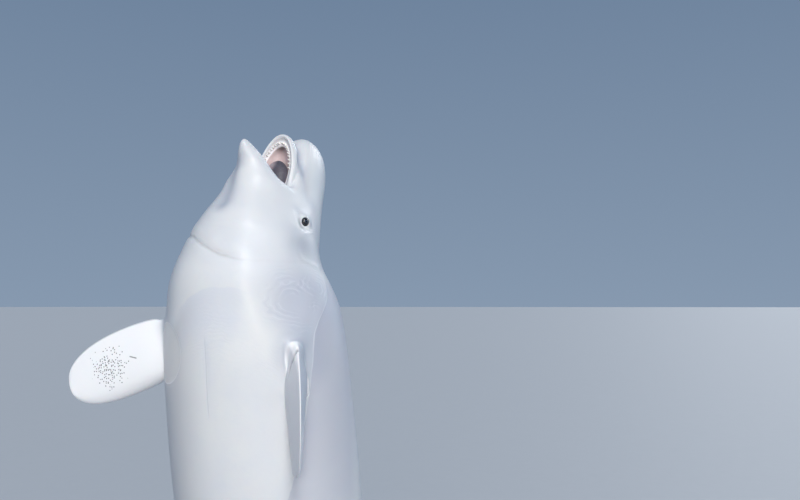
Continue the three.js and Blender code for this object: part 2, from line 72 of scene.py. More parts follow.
def head_place(forward, up):
    """(y, z) of a place on the head: forward from the mouth's corner along the upper jaw, up to the back."""
    lean = math.radians(HEAD_LEAN)
    return (
        MOUTH_CORNER[0] + forward * math.sin(lean) + up * math.cos(lean),
        MOUTH_CORNER[1] + forward * math.cos(lean) - up * math.sin(lean),
    )


def jaw_place(along, up):
    """(y, z) of a place on the lower jaw: along it from the mouth's corner, up towards the upper jaw."""
    gape = math.radians(GAPE)
    return head_place(
        along * math.cos(gape) + up * math.sin(gape),
        -along * math.sin(gape) + up * math.cos(gape),
    )


def lean_at(s):
    """Lean of the body's axis in radians, s along it from the chest towards the tail."""
    return math.radians(CHEST_LEAN + (TAIL_LEAN - CHEST_LEAN) * max(0, s / CHEST_TO_NOTCH) ** TAIL_CURVE)


def axis_place(s):
    """(y, z) of the body's axis, s along it from the chest towards the tail."""
    steps = 64
    leans = [lean_at(s * (i + 0.5) / steps) for i in range(steps)]
    return (
        -sum(math.sin(lean) for lean in leans) * s / steps,
        -sum(math.cos(lean) for lean in leans) * s / steps,
    )


def body_station(s, half_width, to_back, to_belly, ridge=0):
    """A cross-section of the body: its places on back, flank and belly, and how it rounds."""
    y, z = axis_place(s)
    lean = lean_at(s)

    def across(reach):
        return (y + reach * math.cos(lean), z - reach * math.sin(lean))

    return dict(back=across(to_back), flank=(y, z), belly=across(-to_belly), half_width=half_width,
                ridge=ridge, turn=0, full=2.1, taper=0, sag=0)


def head_station(back, flank, half_width, belly, turn, taper=0, sag=0):
    """A cross-section of shoulder, head or mouth. turn softens its bend at the side, taper narrows the jaw,
    and sag is its share of the lips' droop."""
    return dict(back=back, flank=flank, belly=belly, half_width=half_width,
                ridge=0, turn=turn, full=2, taper=taper, sag=sag)


# Cross-sections from the tip of the tail to the bottom of the mouth

BODY_ROWS = (
    (3395, 12, 10, 10), (3300, 38, 34, 34), (3180, 48, 62, 62), (3020, 62, 96, 92), (2780, 104, 140, 132),
    (2450, 172, 196, 184), (2050, 248, 258, 244, 8), (1600, 318, 318, 306, 14), (1100, 366, 358, 352, 9),
    (600, 382, 376, 372), (200, 376, 370, 368), (0, 367, 362, 362),
)
STATIONS = [
    *(body_station(*row) for row in BODY_ROWS),
    # shoulder
    head_station((346, 140), (-13, 133), 350, (-366, 125), 0),
    head_station((312, 206), (-30, 234), 322, (-364, 262), 0),
    head_station((272, 266), (-24, 322), 284, (-314, 384), 0),
    # neck and head
    head_station(head_place(-232, 264), head_place(-258, -20), 266, head_place(-286, -276), 0.2),
    head_station(head_place(-186, 277), head_place(-220, -14), 249, head_place(-252, -275), 0.5),
    head_station(head_place(-104, 298), head_place(-160, -8), 221, head_place(-196, -262), 0.85),
    head_station(head_place(-6, 314), head_place(-112, -5), 194, head_place(-140, -238), 0.8),
    head_station(head_place(98, 325), head_place(-80, -2), 174, head_place(-78, -214), 0.7),
    head_station(head_place(201, 329), head_place(-54, 0), 159, head_place(-18, -205), 0.6),
    head_station(head_place(295, 293), head_place(-36, 0), 150, jaw_place(184, -86), 0.5, 0.15, 0.3),
    head_station(head_place(333, 222), head_place(-24, 0), 142, jaw_place(208, -62), 0.42, 0.35, 0.5),
    head_station(head_place(325, 141), head_place(-15, 0), 132, jaw_place(228, -50), 0.34, 0.45, 0.7),
    head_station(head_place(266, 82), head_place(-8, 0), 120, jaw_place(244, -38), 0.28, 0.5, 0.85),
    head_station(head_place(278, 46), head_place(-2, 0), 117, jaw_place(256, -24), 0.22, 0.54, 0.95),
    head_station(head_place(282, 20), head_place(3, 0), 112, jaw_place(259, -9), 0.16, 0.58, 1),
    head_station(head_place(272, 0), head_place(4, 0), 104, jaw_place(252, 3), 0.12, 0.62, 1),
    # inside of the mouth
    head_station(head_place(262, 6), head_place(1, 0), 99, jaw_place(243, -4), 0.12, 0.56, 1),
    head_station(head_place(249, 17), head_place(-3, 2), 95, jaw_place(237, -12), 0.14, 0.56, 1),
    head_station(head_place(233, 15), head_place(-9, 4), 89, jaw_place(229, -6), 0.16, 0.54, 1),
    head_station(head_place(219, 29), head_place(-17, 3), 81, jaw_place(217, -17), 0.2, 0.5, 1),
    head_station(head_place(198, 47), head_place(-36, 0), 70, jaw_place(185, -26), 0.3, 0.4, 0.8),
    head_station(head_place(128, 60), head_place(-70, 2), 57, jaw_place(112, -34), 0.5, 0.25, 0.4),
    head_station(head_place(28, 58), head_place(-108, 2), 46, jaw_place(28, -42), 0.7, 0.1),
    head_station(head_place(-70, 38), head_place(-136, 0), 30, head_place(-112, -44), 0.9),
]
LIP_SAG = 20  # how far the lips droop near the corner of the mouth
LIP_SAG_SPREAD = (0.3, 0.68)  # share of the upper and of the lower jaw it reaches
JAW_BACK = (-math.cos(math.radians(HEAD_LEAN - GAPE)), math.sin(math.radians(HEAD_LEAN - GAPE)))
TAIL_POLE = (0, *axis_place(CHEST_TO_NOTCH))
THROAT_POLE = (0, *head_place(-172, -2))
LIP_RIM = 27  # station on the crest of the lips
GUM = 30  # station on the crest of the gums

# How many rings of faces lie between each station and the next
RINGS_BETWEEN = [2, 2, 2, 2, 2, 2, 3, 3, 5, 9, 5, 4, 4, 4, 2, 2, 2, 3,
                 3, 3, 3, 3, 2, 2, 2, 1, 1, 1, 1, 1, 1, 2, 2, 2, 1]
SEGMENTS = 48
FLANK_SEGMENTS = {1: (10, 14), -1: (34, 38)}  # from which the eyes and flukes grow on the left and right

# What marks the skin that grew: these numbers, negative for a limb on the right

FLIPPER, FLUKE, LID, BLOWHOLE, EAR = 1, 2, 3, 4, 5

FLIPPER_LENGTH = 525
FLIPPER_HALF_WIDTH = 146
FLIPPER_THICKNESS = (108, 26)  # in the shoulder and at the tip
FLIPPER_CAPS = (0.17, 0.25, 0.34, 0.44, 0.54, 0.64, 0.74, 0.83, 0.905, 0.955, 0.983)
FLIPPER_END = 0.996
ROOT_LIFT, FREE_LIFT = 3, -9  # least height over the skin, of a flipper's first cap and of the others
FLIPPER_POSE = {  # angles in degrees
    "left": dict(side=1, azimuth=40.5, root_spread=66.5, root_reach=300, root_height=-90,
                 out=160, down=20, droop=88),
    "right": dict(side=-1, azimuth=70, root_spread=58, root_reach=290, root_height=-8,
                  out=200, down=63, droop=25),
}
FLUKE_HALF_SPAN = 500
FLUKE_ROOT_AT = 20
FLUKE_ROOT_CHORD = 330
FLUKE_THICKNESS = (54, 12)  # in the tail stock and at the tip
FLUKE_CAPS = (0.09, 0.16, 0.25, 0.35, 0.46, 0.57, 0.68, 0.78, 0.87, 0.94)
FLUKE_END = 0.985
TIP_BULGE = 6  # how far the last cap of a limb is rounded

EYE_AT = (212, 29, 482)  # middle of the left eyeball
EYE_RADIUS = 22
EYE_TURN = 24  # degrees it looks from straight sideways towards the belly
IRIS_REACH = 52  # degrees from the middle of the pupil to the edge of the iris
LID_OUT = 14  # from the eyeball's middle to the plane of its lids
BLOWHOLE_STATION = 17.45
BLOWHOLE_HALF_WIDTH = 42
TONGUE_AT = (12, *head_place(36, 12))
TONGUE_HALF = (67, 43, 108)
TONGUE_LEAN = 17
TONGUE_GROOVE = 4.5
UPPER_TEETH = (11, 3, 66)  # how many on each side, and from and to which degrees round the gum
LOWER_TEETH = (9, 171, 118)
TOOTH_RADIUS, TOOTH_LENGTH = 0.0044, 0.020  # in metres

# The neck crease, which one ring of the skin follows, and the smooth patch round the right flipper's root

CREASE_STATION = 13.86
CREASE_HEIGHT = 367  # in the middle of the animal
CREASE_DROP, CREASE_SPREAD = 62, 130  # how far it rises and falls towards the sides, and over what distance
PATCH_AT = (-205, -45)  # x and z of its middle
PATCH_RADIUS = 119


def catmull(points, t):
    """Places on the centripetal curve through points, t counted in points."""
    last = len(points) - 1
    low = np.clip(np.floor(t).astype(int), 0, last - 1)
    w = (t - low)[:, None]
    padded = np.vstack([2 * points[0] - points[1], points, 2 * points[-1] - points[-2]])
    p0, p1, p2, p3 = (padded[low + i] for i in range(4))

    def knot(a, b):
        return np.maximum(((a - b) ** 2).sum(1, keepdims=True) ** 0.25, 1e-3)

    d0, d1, d2 = knot(p0, p1), knot(p1, p2), knot(p2, p3)
    m1 = ((p1 - p0) / d0 - (p2 - p0) / (d0 + d1) + (p2 - p1) / d1) * d1
    m2 = ((p2 - p1) / d1 - (p3 - p1) / (d1 + d2) + (p3 - p2) / d2) * d1
    return p1 + m1 * w + (3 * (p2 - p1) - 2 * m1 - m2) * w**2 + (2 * (p1 - p2) + m1 + m2) * w**3


def station_line(pick):
    """What pick takes from each station, as rows of an array."""
    return np.array([pick(k) for k in STATIONS], float)


def station_values(name):
    return station_line(lambda k: k[name])


BACKS = station_line(lambda k: (k["ridge"], *k["back"]))
FLANKS = station_line(lambda k: (k["half_width"], *k["flank"]))
BELLIES = station_line(lambda k: (0, *k["belly"]))
ROUNDINGS = [station_values(name) for name in ("turn", "full", "taper", "sag")]


def skin_places(t, angle):
    """Places on the smooth skin in millimetres from the chest: t counts the stations from the tail,
    angle is 0 on the back, a quarter turn on the left flank and half a turn on the belly."""
    t, angle = np.atleast_1d(np.asarray(t, float)), np.atleast_1d(np.asarray(angle, float))
    t, angle = np.broadcast_arrays(t, angle)
    back, flank, belly = (catmull(line, t) for line in (BACKS, FLANKS, BELLIES))
    turn, full, taper, sag = (np.interp(t, range(len(STATIONS)), line) for line in ROUNDINGS)
    c, s = np.cos(angle), np.sin(angle)
    bent = np.sign(c) * np.abs(c) ** (2 / full)

    def soft(v):
        return (v + np.sqrt(v * v + (turn * 0.3) ** 2 * (1 - v * v))) / 2

    wrapped = (angle + math.pi) % (2 * math.pi) - math.pi
    up = soft(bent) * (1 + np.maximum(back[:, 0], 0) * np.exp(-((wrapped / 0.16) ** 2)) / 300)
    down = soft(-bent)
    x = flank[:, 0] * np.sign(s) * np.abs(s) ** (2 / full) * (1 - taper * np.maximum(-c, 0))
    yz = flank[:, 1:] + (back - flank)[:, 1:] * up[:, None] + (belly - flank)[:, 1:] * down[:, None]
    droop = sag * LIP_SAG * np.exp(-((c / np.where(c < 0, LIP_SAG_SPREAD[1], LIP_SAG_SPREAD[0])) ** 4))
    yz += droop[:, None] * JAW_BACK
    return np.column_stack([x, yz])


def in_frame(places):
    """Metres in the frame, from millimetres about the middle of the chest."""
    return np.asarray(places, float) * MM + CHEST


def from_chest(places):
    """Millimetres about the middle of the chest, from metres in the frame."""
    return (np.asarray(places, float) - CHEST) / MM


def crease_height(x):
    """Height of the neck crease above the chest at a place across the animal."""
    return CREASE_HEIGHT - CREASE_DROP * np.tanh(x / CREASE_SPREAD)


def ring_numbers():
    """Station numbers of all the rings of the skin's cage."""
    numbers = []
    for station, count in enumerate(RINGS_BETWEEN):
        numbers += [station + i / count for i in range(count)]
    return np.array(numbers + [len(STATIONS) - 1.0])


RINGS = ring_numbers()

# Limbs: a section is its middle, its ways ahead and out of its face, its half-width and half-thickness, and
# its way along the limb


def flipper_section(pose, t):
    """The flipper's cross-section at t, which is 0 inside the shoulder and 1 at the tip."""
    azimuth, spread, droop = (math.radians(pose[k]) for k in ("azimuth", "root_spread", "droop"))
    side = pose["side"]
    out = np.array([side * math.sin(azimuth), -math.cos(azimuth), 0])
    up = np.array([0, 0, 1.0])
    face = np.cross(out, up)
    root = np.array([side * math.sin(spread), -math.cos(spread), 0]) * pose["root_reach"]
    root[2] = pose["root_height"]
    bend = root + out * pose["out"] - up * pose["down"]
    reach = FLIPPER_LENGTH - pose["out"]
    tip = bend + out * reach * math.cos(droop) - up * reach * math.sin(droop)
    middle = root * (1 - t) ** 2 + bend * 2 * t * (1 - t) + tip * t**2
    along = (bend - root) * (1 - t) + (tip - bend) * t
    ahead = np.cross(face, along)
    ahead /= np.linalg.norm(ahead)
    if ahead @ (up + out) < 0:
        ahead = -ahead
    beyond, before = max((t - 0.5) / 0.5, 0), max((0.5 - t) / 0.5, 0)
    half = FLIPPER_HALF_WIDTH * max(1 - beyond**2.6, 0) ** (1 / 2.6) * (1 - 0.24 * before**2)
    root_thick, tip_thick = FLIPPER_THICKNESS
    thick = (root_thick + (tip_thick - root_thick) * t**1.5) / 2
    return middle, ahead, face, half, min(thick, half * 0.3 + 3), along / np.linalg.norm(along)


def wedge(x):
    """Share of a flipper's thickness at x along its chord, from 1 at its leading edge to -1."""
    return math.sqrt(max(1 - x, 0)) / 1.09


def bladed(x):
    """Share of a fluke's thickness along its chord."""
    return 1 + 0.35 * x


def fluke_section(side, share):
    """The fluke's cross-section at a share of its reach from the tail stock's middle to the tip."""
    x = FLUKE_ROOT_AT + (FLUKE_HALF_SPAN - FLUKE_ROOT_AT) * share
    lead = CHEST_TO_NOTCH - FLUKE_ROOT_CHORD * (1 - share**1.5) - 26 * share**1.5
    trail = fluke_trail(share)
    at = CHEST_TO_NOTCH - FLUKE_ROOT_CHORD / 2
    lean, (y, z) = lean_at(at), axis_place(at)
    ahead = np.array([0, math.sin(lean), math.cos(lean)])
    face = np.array([0, math.cos(lean), -math.sin(lean)])
    half = max((trail - lead) / 2, 4)
    middle = np.array([side * x, y, z]) + ahead * (at - (lead + trail) / 2) + face * 18 * share**2
    root_thick, tip_thick = FLUKE_THICKNESS
    thick = (root_thick + (tip_thick - root_thick) * share**0.6) / 2
    return middle, ahead, -side * face, half, thick, np.array([side, 0, 0])


def fluke_trail(share):
    """How far along the body's axis the fluke's trailing edge lies."""
    return CHEST_TO_NOTCH + 84 * np.sin(np.pi * share**0.8) * (1 - 0.35 * share)


# Materials


class Link:
    """An output of a material's node, with arithmetic that adds Math nodes."""

    def __init__(self, finish, socket):
        self.finish, self.socket = finish, socket

    def math(self, operation, *values):
        return self.finish.node("ShaderNodeMath", {"operation": operation}, dict(enumerate(values)))

    def __add__(self, other):
        return self.math("ADD", self, other)

    def __sub__(self, other):
        return self.math("SUBTRACT", self, other)

    def __rsub__(self, other):
        return self.math("SUBTRACT", other, self)

    def __mul__(self, other):
        return self.math("MULTIPLY", self, other)

    def __abs__(self):
        return self.math("ABSOLUTE", self)

    def root(self):
        return self.math("SQRT", self)

    def sine(self):
        return self.math("SINE", self)

    def tanh(self):
        return self.math("TANH", self)

    def highest(self, other):
        return self.math("MAXIMUM", self, other)

    __radd__, __rmul__ = __add__, __mul__


class Finish:
    """A procedural material, built node by node. Its colour is painted in layers, and its relief added up."""

    def __init__(self, name, colour):
        self.material = bpy.data.materials.new(name)
        self.material.use_nodes = True
        self.tree = self.material.node_tree
        self.tree.nodes.clear()
        output = self.tree.nodes.new("ShaderNodeOutputMaterial")
        self.shader = self.tree.nodes.new("ShaderNodeBsdfPrincipled")
        self.tree.links.new(self.shader.outputs[0], output.inputs[0])
        self.place = self.node("ShaderNodeTexCoord", out="Object")
        self.colour = tuple(colour)

    def feed(self, socket, value):
        """Links a socket to an output, or sets its value."""
        if isinstance(value, Link):
            self.tree.links.new(value.socket, socket)
        else:
            socket.default_value = value

    def node(self, kind, settings=None, sockets=None, out=0):
        """A node of that kind. Its settings are set first, then its sockets are fed."""
        made = self.tree.nodes.new(kind)
        for key, value in (settings or {}).items():
            setattr(made, key, value)
        for key, value in (sockets or {}).items():
            self.feed(made.inputs[key], value)
        return Link(self, made.outputs[out])

    def set(self, **values):
        """Feeds sockets of the main shader, named with underscores for spaces."""
        for key, value in values.items():
            self.feed(self.shader.inputs[key.replace("_", " ")], value)

    def over(self, mask, under, above):
        """The colour above over the colour under, where mask is 1."""
        sockets = {0: mask, 6: under, 7: above}
        sockets = {k: ((*v, 1) if isinstance(v, tuple) else v) for k, v in sockets.items()}
        return self.node("ShaderNodeMix", {"data_type": "RGBA"}, sockets, out=2)

    def paint(self, mask, colour):
        """Lays a colour over what is painted so far, where mask is 1."""
        self.colour = self.over(mask, self.colour, colour)

    def finished(self, height, distance, strength=1.0, **values):
        """The material, with its painted colour, its relief and its other values."""
        bump = self.node("ShaderNodeBump", {}, {"Height": height, "Distance": distance, "Strength": strength})
        self.set(Base_Color=self.colour, Normal=bump, **values)
        return self.material

    def noise(self, scale, detail=3, roughness=0.5, place=None, distortion=0.0):
        return self.node("ShaderNodeTexNoise", {}, {
            "Vector": place or self.place, "Scale": scale, "Detail": detail, "Roughness": roughness,
            "Distortion": distortion})

    def step(self, value, low, high, to_low=0.0, to_high=1.0):
        """A smooth step from to_low to to_high as value goes from low to high, which may lie below low."""
        return self.node("ShaderNodeMapRange", {"interpolation_type": "SMOOTHSTEP"}, {
            "Value": value, "From Min": low, "From Max": high, "To Min": to_low, "To Max": to_high})

    def moved(self, centre, turn=(0, 0, 0), scale=(1, 1, 1)):
        """Coordinates about a centre, turned and then scaled."""
        shifted = self.node("ShaderNodeVectorMath", {"operation": "SUBTRACT"}, {0: self.place, 1: centre})
        return self.node("ShaderNodeMapping", {}, {"Vector": shifted, "Rotation": turn, "Scale": scale})

    def from_chest(self):
        """The place's x, y and z in millimetres from the middle of the chest."""
        split = self.node("ShaderNodeSeparateXYZ", {}, {0: self.place}).socket.node
        return [(Link(self, split.outputs[i]) - float(CHEST[i])) * (1 / MM) for i in range(3)]

    def line(self, gap, width):
        """1 where the gap is nothing and 0 where it is width or more."""
        return self.step(abs(gap), width, 0.0)

    def band(self, value, low, high, soft):
        """1 between low and high, with soft ends."""
        return self.step(value, low - soft, low + soft) * self.step(value, high + soft, high - soft)

    def distance(self, spot, place=None):
        """Distance in metres from a spot in the frame."""
        ends = {0: place or self.place, 1: spot}
        return self.node("ShaderNodeVectorMath", {"operation": "DISTANCE"}, ends, out="Value")

    def blob(self, centre, radius, edge=0.0):
        """1 at a centre and 0 from radius on."""
        return self.step(self.distance(centre), radius, edge)

    def attribute(self, name):
        return self.node("ShaderNodeAttribute", {"attribute_name": name}, {}, out="Fac")


def metres(x, y, z):
    """A spot in the frame for a shader, from millimetres about the middle of the chest."""
    return tuple(float(v) for v in in_frame((x, y, z)))


class SkinFinish(Finish):
    """The whale's skin: white with soft clouds, and painted part by part."""

    def __init__(self, settings):
        super().__init__("beluga_skin", settings.skin_colour)
        self.settings = settings
        self.shade, self.painted_shade = tuple(settings.cloud_and_shade_colour), tuple(settings.painted_shade_colour)
        self.x, self.y, self.z = self.from_chest()
        self.part = abs(self.attribute("part"))
        self.trunk = self.step(self.part, 0.7, 0.3)
        self.wobble = self.noise(11, 3, 0.55) - 0.5
        self.fine = self.noise(42, 4, 0.6)
        self.crepe = self.node("ShaderNodeTexWave", {"wave_type": "BANDS", "bands_direction": "Z"}, {
            "Vector": self.place, "Scale": 22.0, "Distortion": 14.0, "Detail": 3.0, "Detail Scale": 0.8})
        pores = self.noise(260, 2) * 0.10 + self.fine * 0.16
        self.height = pores + self.crepe * self.attribute("wrinkled") * 0.08

    def paint_clouds(self):
        """Soft clouds, warmer and cooler, and painted shade where the skin turns away from the view."""
        clouds = self.step(self.noise(2.6, 4, 0.55, distortion=0.4), 0.40, 0.68)
        self.paint(clouds * 0.30, self.shade)
        # Painted shade that grows where the skin turns away from the view.
        grazing_shade = self.node("ShaderNodeLayerWeight", {}, {"Blend": 0.35}, out="Facing")
        self.paint(grazing_shade * grazing_shade * 0.75, self.painted_shade)
        mottle = self.step(self.noise(17, 5, 0.62, distortion=0.8), 0.42, 0.78)
        self.paint(mottle * 0.13, self.shade)
        self.paint(self.step(self.noise(5, 3), 0.5, 0.8) * 0.16, (0.80, 0.77, 0.74))

    def paint_chest(self):
        """An arch on the chest with faint bands along it, and painted shade below it and on the right."""
        x, y, z, trunk = self.x, self.y, self.z, self.trunk
        arch = z + (x - 100) * (x - 100) * 0.0024 + self.wobble * 46
        front = self.step(y, -190.0, -250.0) * trunk
        edge = self.step(arch, 216.0, 206.0) * self.band(arch, 60.0, 240.0, 50.0) * front
        self.paint(edge * self.band(x, -90.0, 175.0, 40.0) * 0.42, self.shade)
        waves = (arch * 0.34 + self.fine * 14 + self.wobble * 12).sine()
        ripples = (waves * 0.5 + 0.5) * self.band(arch, -60.0, 170.0, 90.0) * front
        ripples = ripples * self.step(self.noise(6.5, 3), 0.34, 0.62)
        self.paint(ripples * 0.13, self.shade)
        self.height += ripples * 0.13
        # Painted shade low on the chest and on its right side.
        upwards = self.step(z, -1600.0, -300.0) * trunk
        low = self.step(arch, 230.0, 150.0) * self.step(x, 60.0, -140.0) * self.step(y, -60.0, -200.0)
        self.paint(low * upwards * 0.56, (0.51, 0.51, 0.52))
        right = self.step(x, -70.0, -250.0) * self.step(z, 390.0, 270.0)
        self.paint(right * upwards * 0.72, (0.47, 0.49, 0.53))

    def paint_hollow_shade(self):
        """Painted shade in hollows on the left of the chest, swirling wrinkles with painted highlights on
        their ridges and painted shade in their furrows, and painted shade where the skin sinks in.
        """
        swirls, furrows = 0.0, 0.0
        for centre, radius, scale in (((296, -175, 150), 0.17, 13.0), ((338, -60, 215), 0.12, 17.0)):
            centre = metres(*centre)
            rings = self.node("ShaderNodeTexWave", {"wave_type": "RINGS", "rings_direction": "SPHERICAL"}, {
                "Vector": self.moved(centre, (0.5, 0, 0), (1.0, 0.7, 1.25)), "Scale": scale,
                "Distortion": 24.0, "Detail": 3.0, "Detail Scale": 0.5, "Detail Roughness": 0.5})
            broken = self.step(self.noise(9, 3, 0.6), 0.44, 0.60) * (1 - self.blob(centre, 0.05, 0.02))
            curled = self.blob(centre, radius, 0.07) * self.trunk * broken
            swirls = self.step(rings, 0.80, 1.0) * curled + swirls
            furrows = self.step(rings, 0.30, 0.0) * curled + furrows
        # Painted shade in two hollows of the chest.
        for centre, radius, edge, share, colour in (
                ((330, -120, 150), 0.23, 0.06, 0.66, (0.46, 0.49, 0.59)),
                ((352, -130, -50), 0.17, 0.05, 0.62, (0.43, 0.48, 0.56))):
            self.paint(self.blob(metres(*centre), radius, edge) * self.trunk * share, colour)
        # Painted highlights on the swirls' ridges and painted shade in their furrows.
        self.paint(swirls * 0.20, (0.84, 0.85, 0.91))
        self.paint(furrows * 0.16, (0.40, 0.43, 0.53))
        self.height += swirls * 0.09 - furrows * 0.07
        # Painted shade where the skin sinks in: along the throat, in the lip's trough, round the eyes and on
        # the back of the neck.
        self.paint(self.attribute("painted_shade"), self.painted_shade)

    def paint_neck_crease(self):
        """A soft lumpy line that fades towards the left, painted darker as shade in the crease, and the
        duller skin over it.
        """
        line = (self.x * (1 / CREASE_SPREAD)).tanh() * -CREASE_DROP + CREASE_HEIGHT
        gap = self.z - line - self.wobble * 22
        front = self.step(self.y, 20.0, -60.0) * self.trunk
        strong = self.step(self.x, 190.0, 70.0)
        crease = self.line(gap, 9.0) * front * (strong * 0.7 + 0.1) * (self.fine * 0.9 + 0.35)
        # Painted shade in the crease.
        self.paint(crease * 0.56, (0.46, 0.44, 0.42))
        self.paint(self.line(gap - 18, 30) * front * strong * self.fine * 0.45, (0.66, 0.64, 0.61))
        self.height -= crease * 1.1

    def paint_patch(self):
        """The smooth patch round the root of the right flipper."""
        across, up = self.x - PATCH_AT[0], self.z - PATCH_AT[1]
        from_root = (across * across + up * up).root() + self.wobble * 5
        near = self.step(self.y, -150.0, -200.0) * self.trunk
        patch = self.step(from_root, PATCH_RADIUS + 2, PATCH_RADIUS - 2) * near
        edge = self.line(from_root - (PATCH_RADIUS + 0.5), 4.0) * near
        self.paint(patch * 0.60, (0.70, 0.69, 0.67))
        self.paint(edge * 0.55, (0.84, 0.84, 0.86))
        self.height += edge * 0.4 - patch * 0.3

    def paint_shoulder_fold(self):
        """The long fold behind the left shoulder, with a painted highlight along it and painted shade behind
        it.
        """
        x, y, z = self.x, self.y, self.z
        slope = self.step(z, 20.0, 215.0) * 104 + z * 0.12 - 97
        ahead = slope - self.wobble * 14 - y
        flank = self.step(x, 240.0, 300.0) * self.trunk
        side = flank * self.step(z, 270.0, 195.0) * self.step(z, -1200.0, -300.0)
        fold = self.line(ahead, 5.0) * side * self.step(z, -200.0, 20.0, 0.2, 1.0)
        # Painted shade behind the fold, and a painted highlight along it.
        self.paint(self.step(ahead, 2.0, -4.0) * side * self.step(y, 230.0, 120.0) * 0.62, (0.48, 0.49, 0.57))
        self.paint(fold * 0.42, (0.85, 0.86, 0.90))
        self.height += fold * 0.4

    def paint_belly_crease(self):
        """The crease down the belly, painted darker as shade, and painted shade beside it."""
        x, z = self.x, self.z
        front = self.step(self.y, -280.0, -320.0) * self.trunk
        crease = self.line(x - 41 + self.wobble * 9, 4.5) * self.band(z, -270.0, 14.0, 25.0) * front
        beside = self.step(x, 30.0, 41.0) * self.step(x, 95.0, 42.0) * self.band(z, -270.0, 14.0, 40.0)
        # Painted shade in the crease and beside it.
        self.paint(crease * 0.22, (0.52, 0.52, 0.55))
        self.paint(beside * front * 0.20, self.shade)
        self.height -= crease * 0.4

    def paint_flippers(self):
        """The brighter flippers; on the left one, painted shade on its faces and along its trailing edge, a
        painted highlight on its rounded shoulder with painted shade round it, and painted shade in the crease
        at its root.
        """
        flippers = self.step(self.part, 0.5, 1.0) * self.step(self.part, 1.6, 1.2)
        self.paint(flippers * 0.85, tuple(self.settings.flipper_colour))
        # Painted shade on the faces and along the trailing edge, a painted highlight on the rounded shoulder,
        # and painted shade round it and in the root's crease.
        for name, share, colour in (
                ("inner_face_shade", 0.46, (0.47, 0.48, 0.54)),
                ("outer_face_shade", 0.60, (0.42, 0.46, 0.54)),
                ("knob_highlight", 1.0, (0.98, 0.98, 0.98)),
                ("knob_contour_shade", 0.55, (0.36, 0.38, 0.46)),
                ("trailing", 0.6, (0.22, 0.23, 0.27)),
                ("armpit_crease_shade", 0.85, (0.20, 0.20, 0.24))):
            self.paint(self.attribute(name) * share, colour)
        self.height -= self.attribute("armpit_crease_shade") * 1.5

    def paint_freckles(self):
        """Scattered dark freckles and a short dash on the front of the right flipper."""
        x, z = self.x, self.z
        from_front = self.node("ShaderNodeCombineXYZ", {}, {0: x, 1: z})
        cells = {"Vector": from_front, "Scale": 0.112, "Randomness": 1.0}
        flat = {"feature": "F1", "voronoi_dimensions": "2D"}
        dots = self.node("ShaderNodeTexVoronoi", flat, cells, out="Distance")
        tints = self.node("ShaderNodeTexVoronoi", flat, cells, out="Color")
        chance = self.node("ShaderNodeSeparateColor", {}, {0: tints})
        far = self.distance(metres(-528, -284, -112))
        kept = self.step(far + self.wobble * 0.03, 0.020, 0.114, 0.78, -0.02)
        freckle = self.step(kept - chance, 0.0, 0.02) * self.step(dots, 0.30, 0.22)
        dash = self.line(z + 71 + (x + 428) * 0.2, 4.0) * self.band(x, -444.0, -412.0, 3.0)
        freckle = freckle.highest(dash * 0.9) * self.attribute("right_flipper_front")
        self.paint(freckle * 0.92, (0.02, 0.018, 0.02))

    def paint_small_marks(self):
        """Painted shade in the slit of the blowhole, the grey trailing margins of the flukes, painted shade
        on the skin round the eyes, and darker rims on the lids.
        """
        # Painted shade in the closed slit of the blowhole.
        self.paint(self.attribute("blowhole") * 0.85, (0.10, 0.09, 0.10))
        self.paint(self.attribute("fluke_edge") * 0.8, (0.16, 0.17, 0.20))
        either_side = self.node("ShaderNodeVectorMath", {"operation": "ABSOLUTE"}, {0: self.place})
        gap = self.distance(tuple(abs(v) for v in metres(216, 34, 484)), either_side)
        # Painted shade on the skin round the eyes.
        near = self.step(gap + self.wobble * 0.02, 0.085, 0.020) * self.trunk
        self.paint(near * 0.22, self.shade)
        rim = self.step(gap, 0.0205, 0.0165) * self.attribute("lid")
        self.paint(rim * 0.75, (0.16, 0.16, 0.18))
        self.height += near * self.crepe * 0.35

    def paint_mouth(self):
        """The inside of the mouth: pale gums, a pinkish palate, and painted shade in the groove behind the
        lips, in the hollow behind the front teeth and deep in the throat.
        """
        depth = self.attribute("mouth")
        palate = tuple(self.settings.palate_colour)
        flesh = self.over(self.step(self.noise(30, 4), 0.35, 0.7) * 0.4, palate, (0.46, 0.35, 0.35))
        # Painted shade in the hollow behind the front teeth.
        flesh = self.over(self.attribute("mouth_hollow_shade"), flesh, (0.055, 0.036, 0.036))
        # Pinkish flesh, darkened as painted shade, in the groove between lip and gum.
        self.paint(self.band(depth, 0.15, 0.25, 0.03) * 0.5, (0.50, 0.42, 0.44))
        self.paint(self.step(depth, 0.26, 0.32), (1.0, 0.97, 0.97))
        self.paint(self.step(depth, 0.43, 0.50), flesh)
        # Painted shade deep in the throat.
        self.paint(self.step(depth, 0.72, 0.95), (0.08, 0.045, 0.05))


def skin_finish(settings):
    f = SkinFinish(settings)
    f.paint_clouds()
    f.paint_chest()
    f.paint_hollow_shade()
    f.paint_neck_crease()
    f.paint_patch()
    f.paint_shoulder_fold()
    f.paint_belly_crease()
    f.paint_flippers()
    f.paint_freckles()
    f.paint_small_marks()
    f.paint_mouth()
    return f.finished(
        f.height, 0.0022, 0.8, Roughness=f.noise(9, 3) * 0.14 + 0.40, Subsurface_Weight=0.08,
        Subsurface_Scale=0.02, Coat_Weight=0.10, Coat_Roughness=0.28, Specular_IOR_Level=0.5)


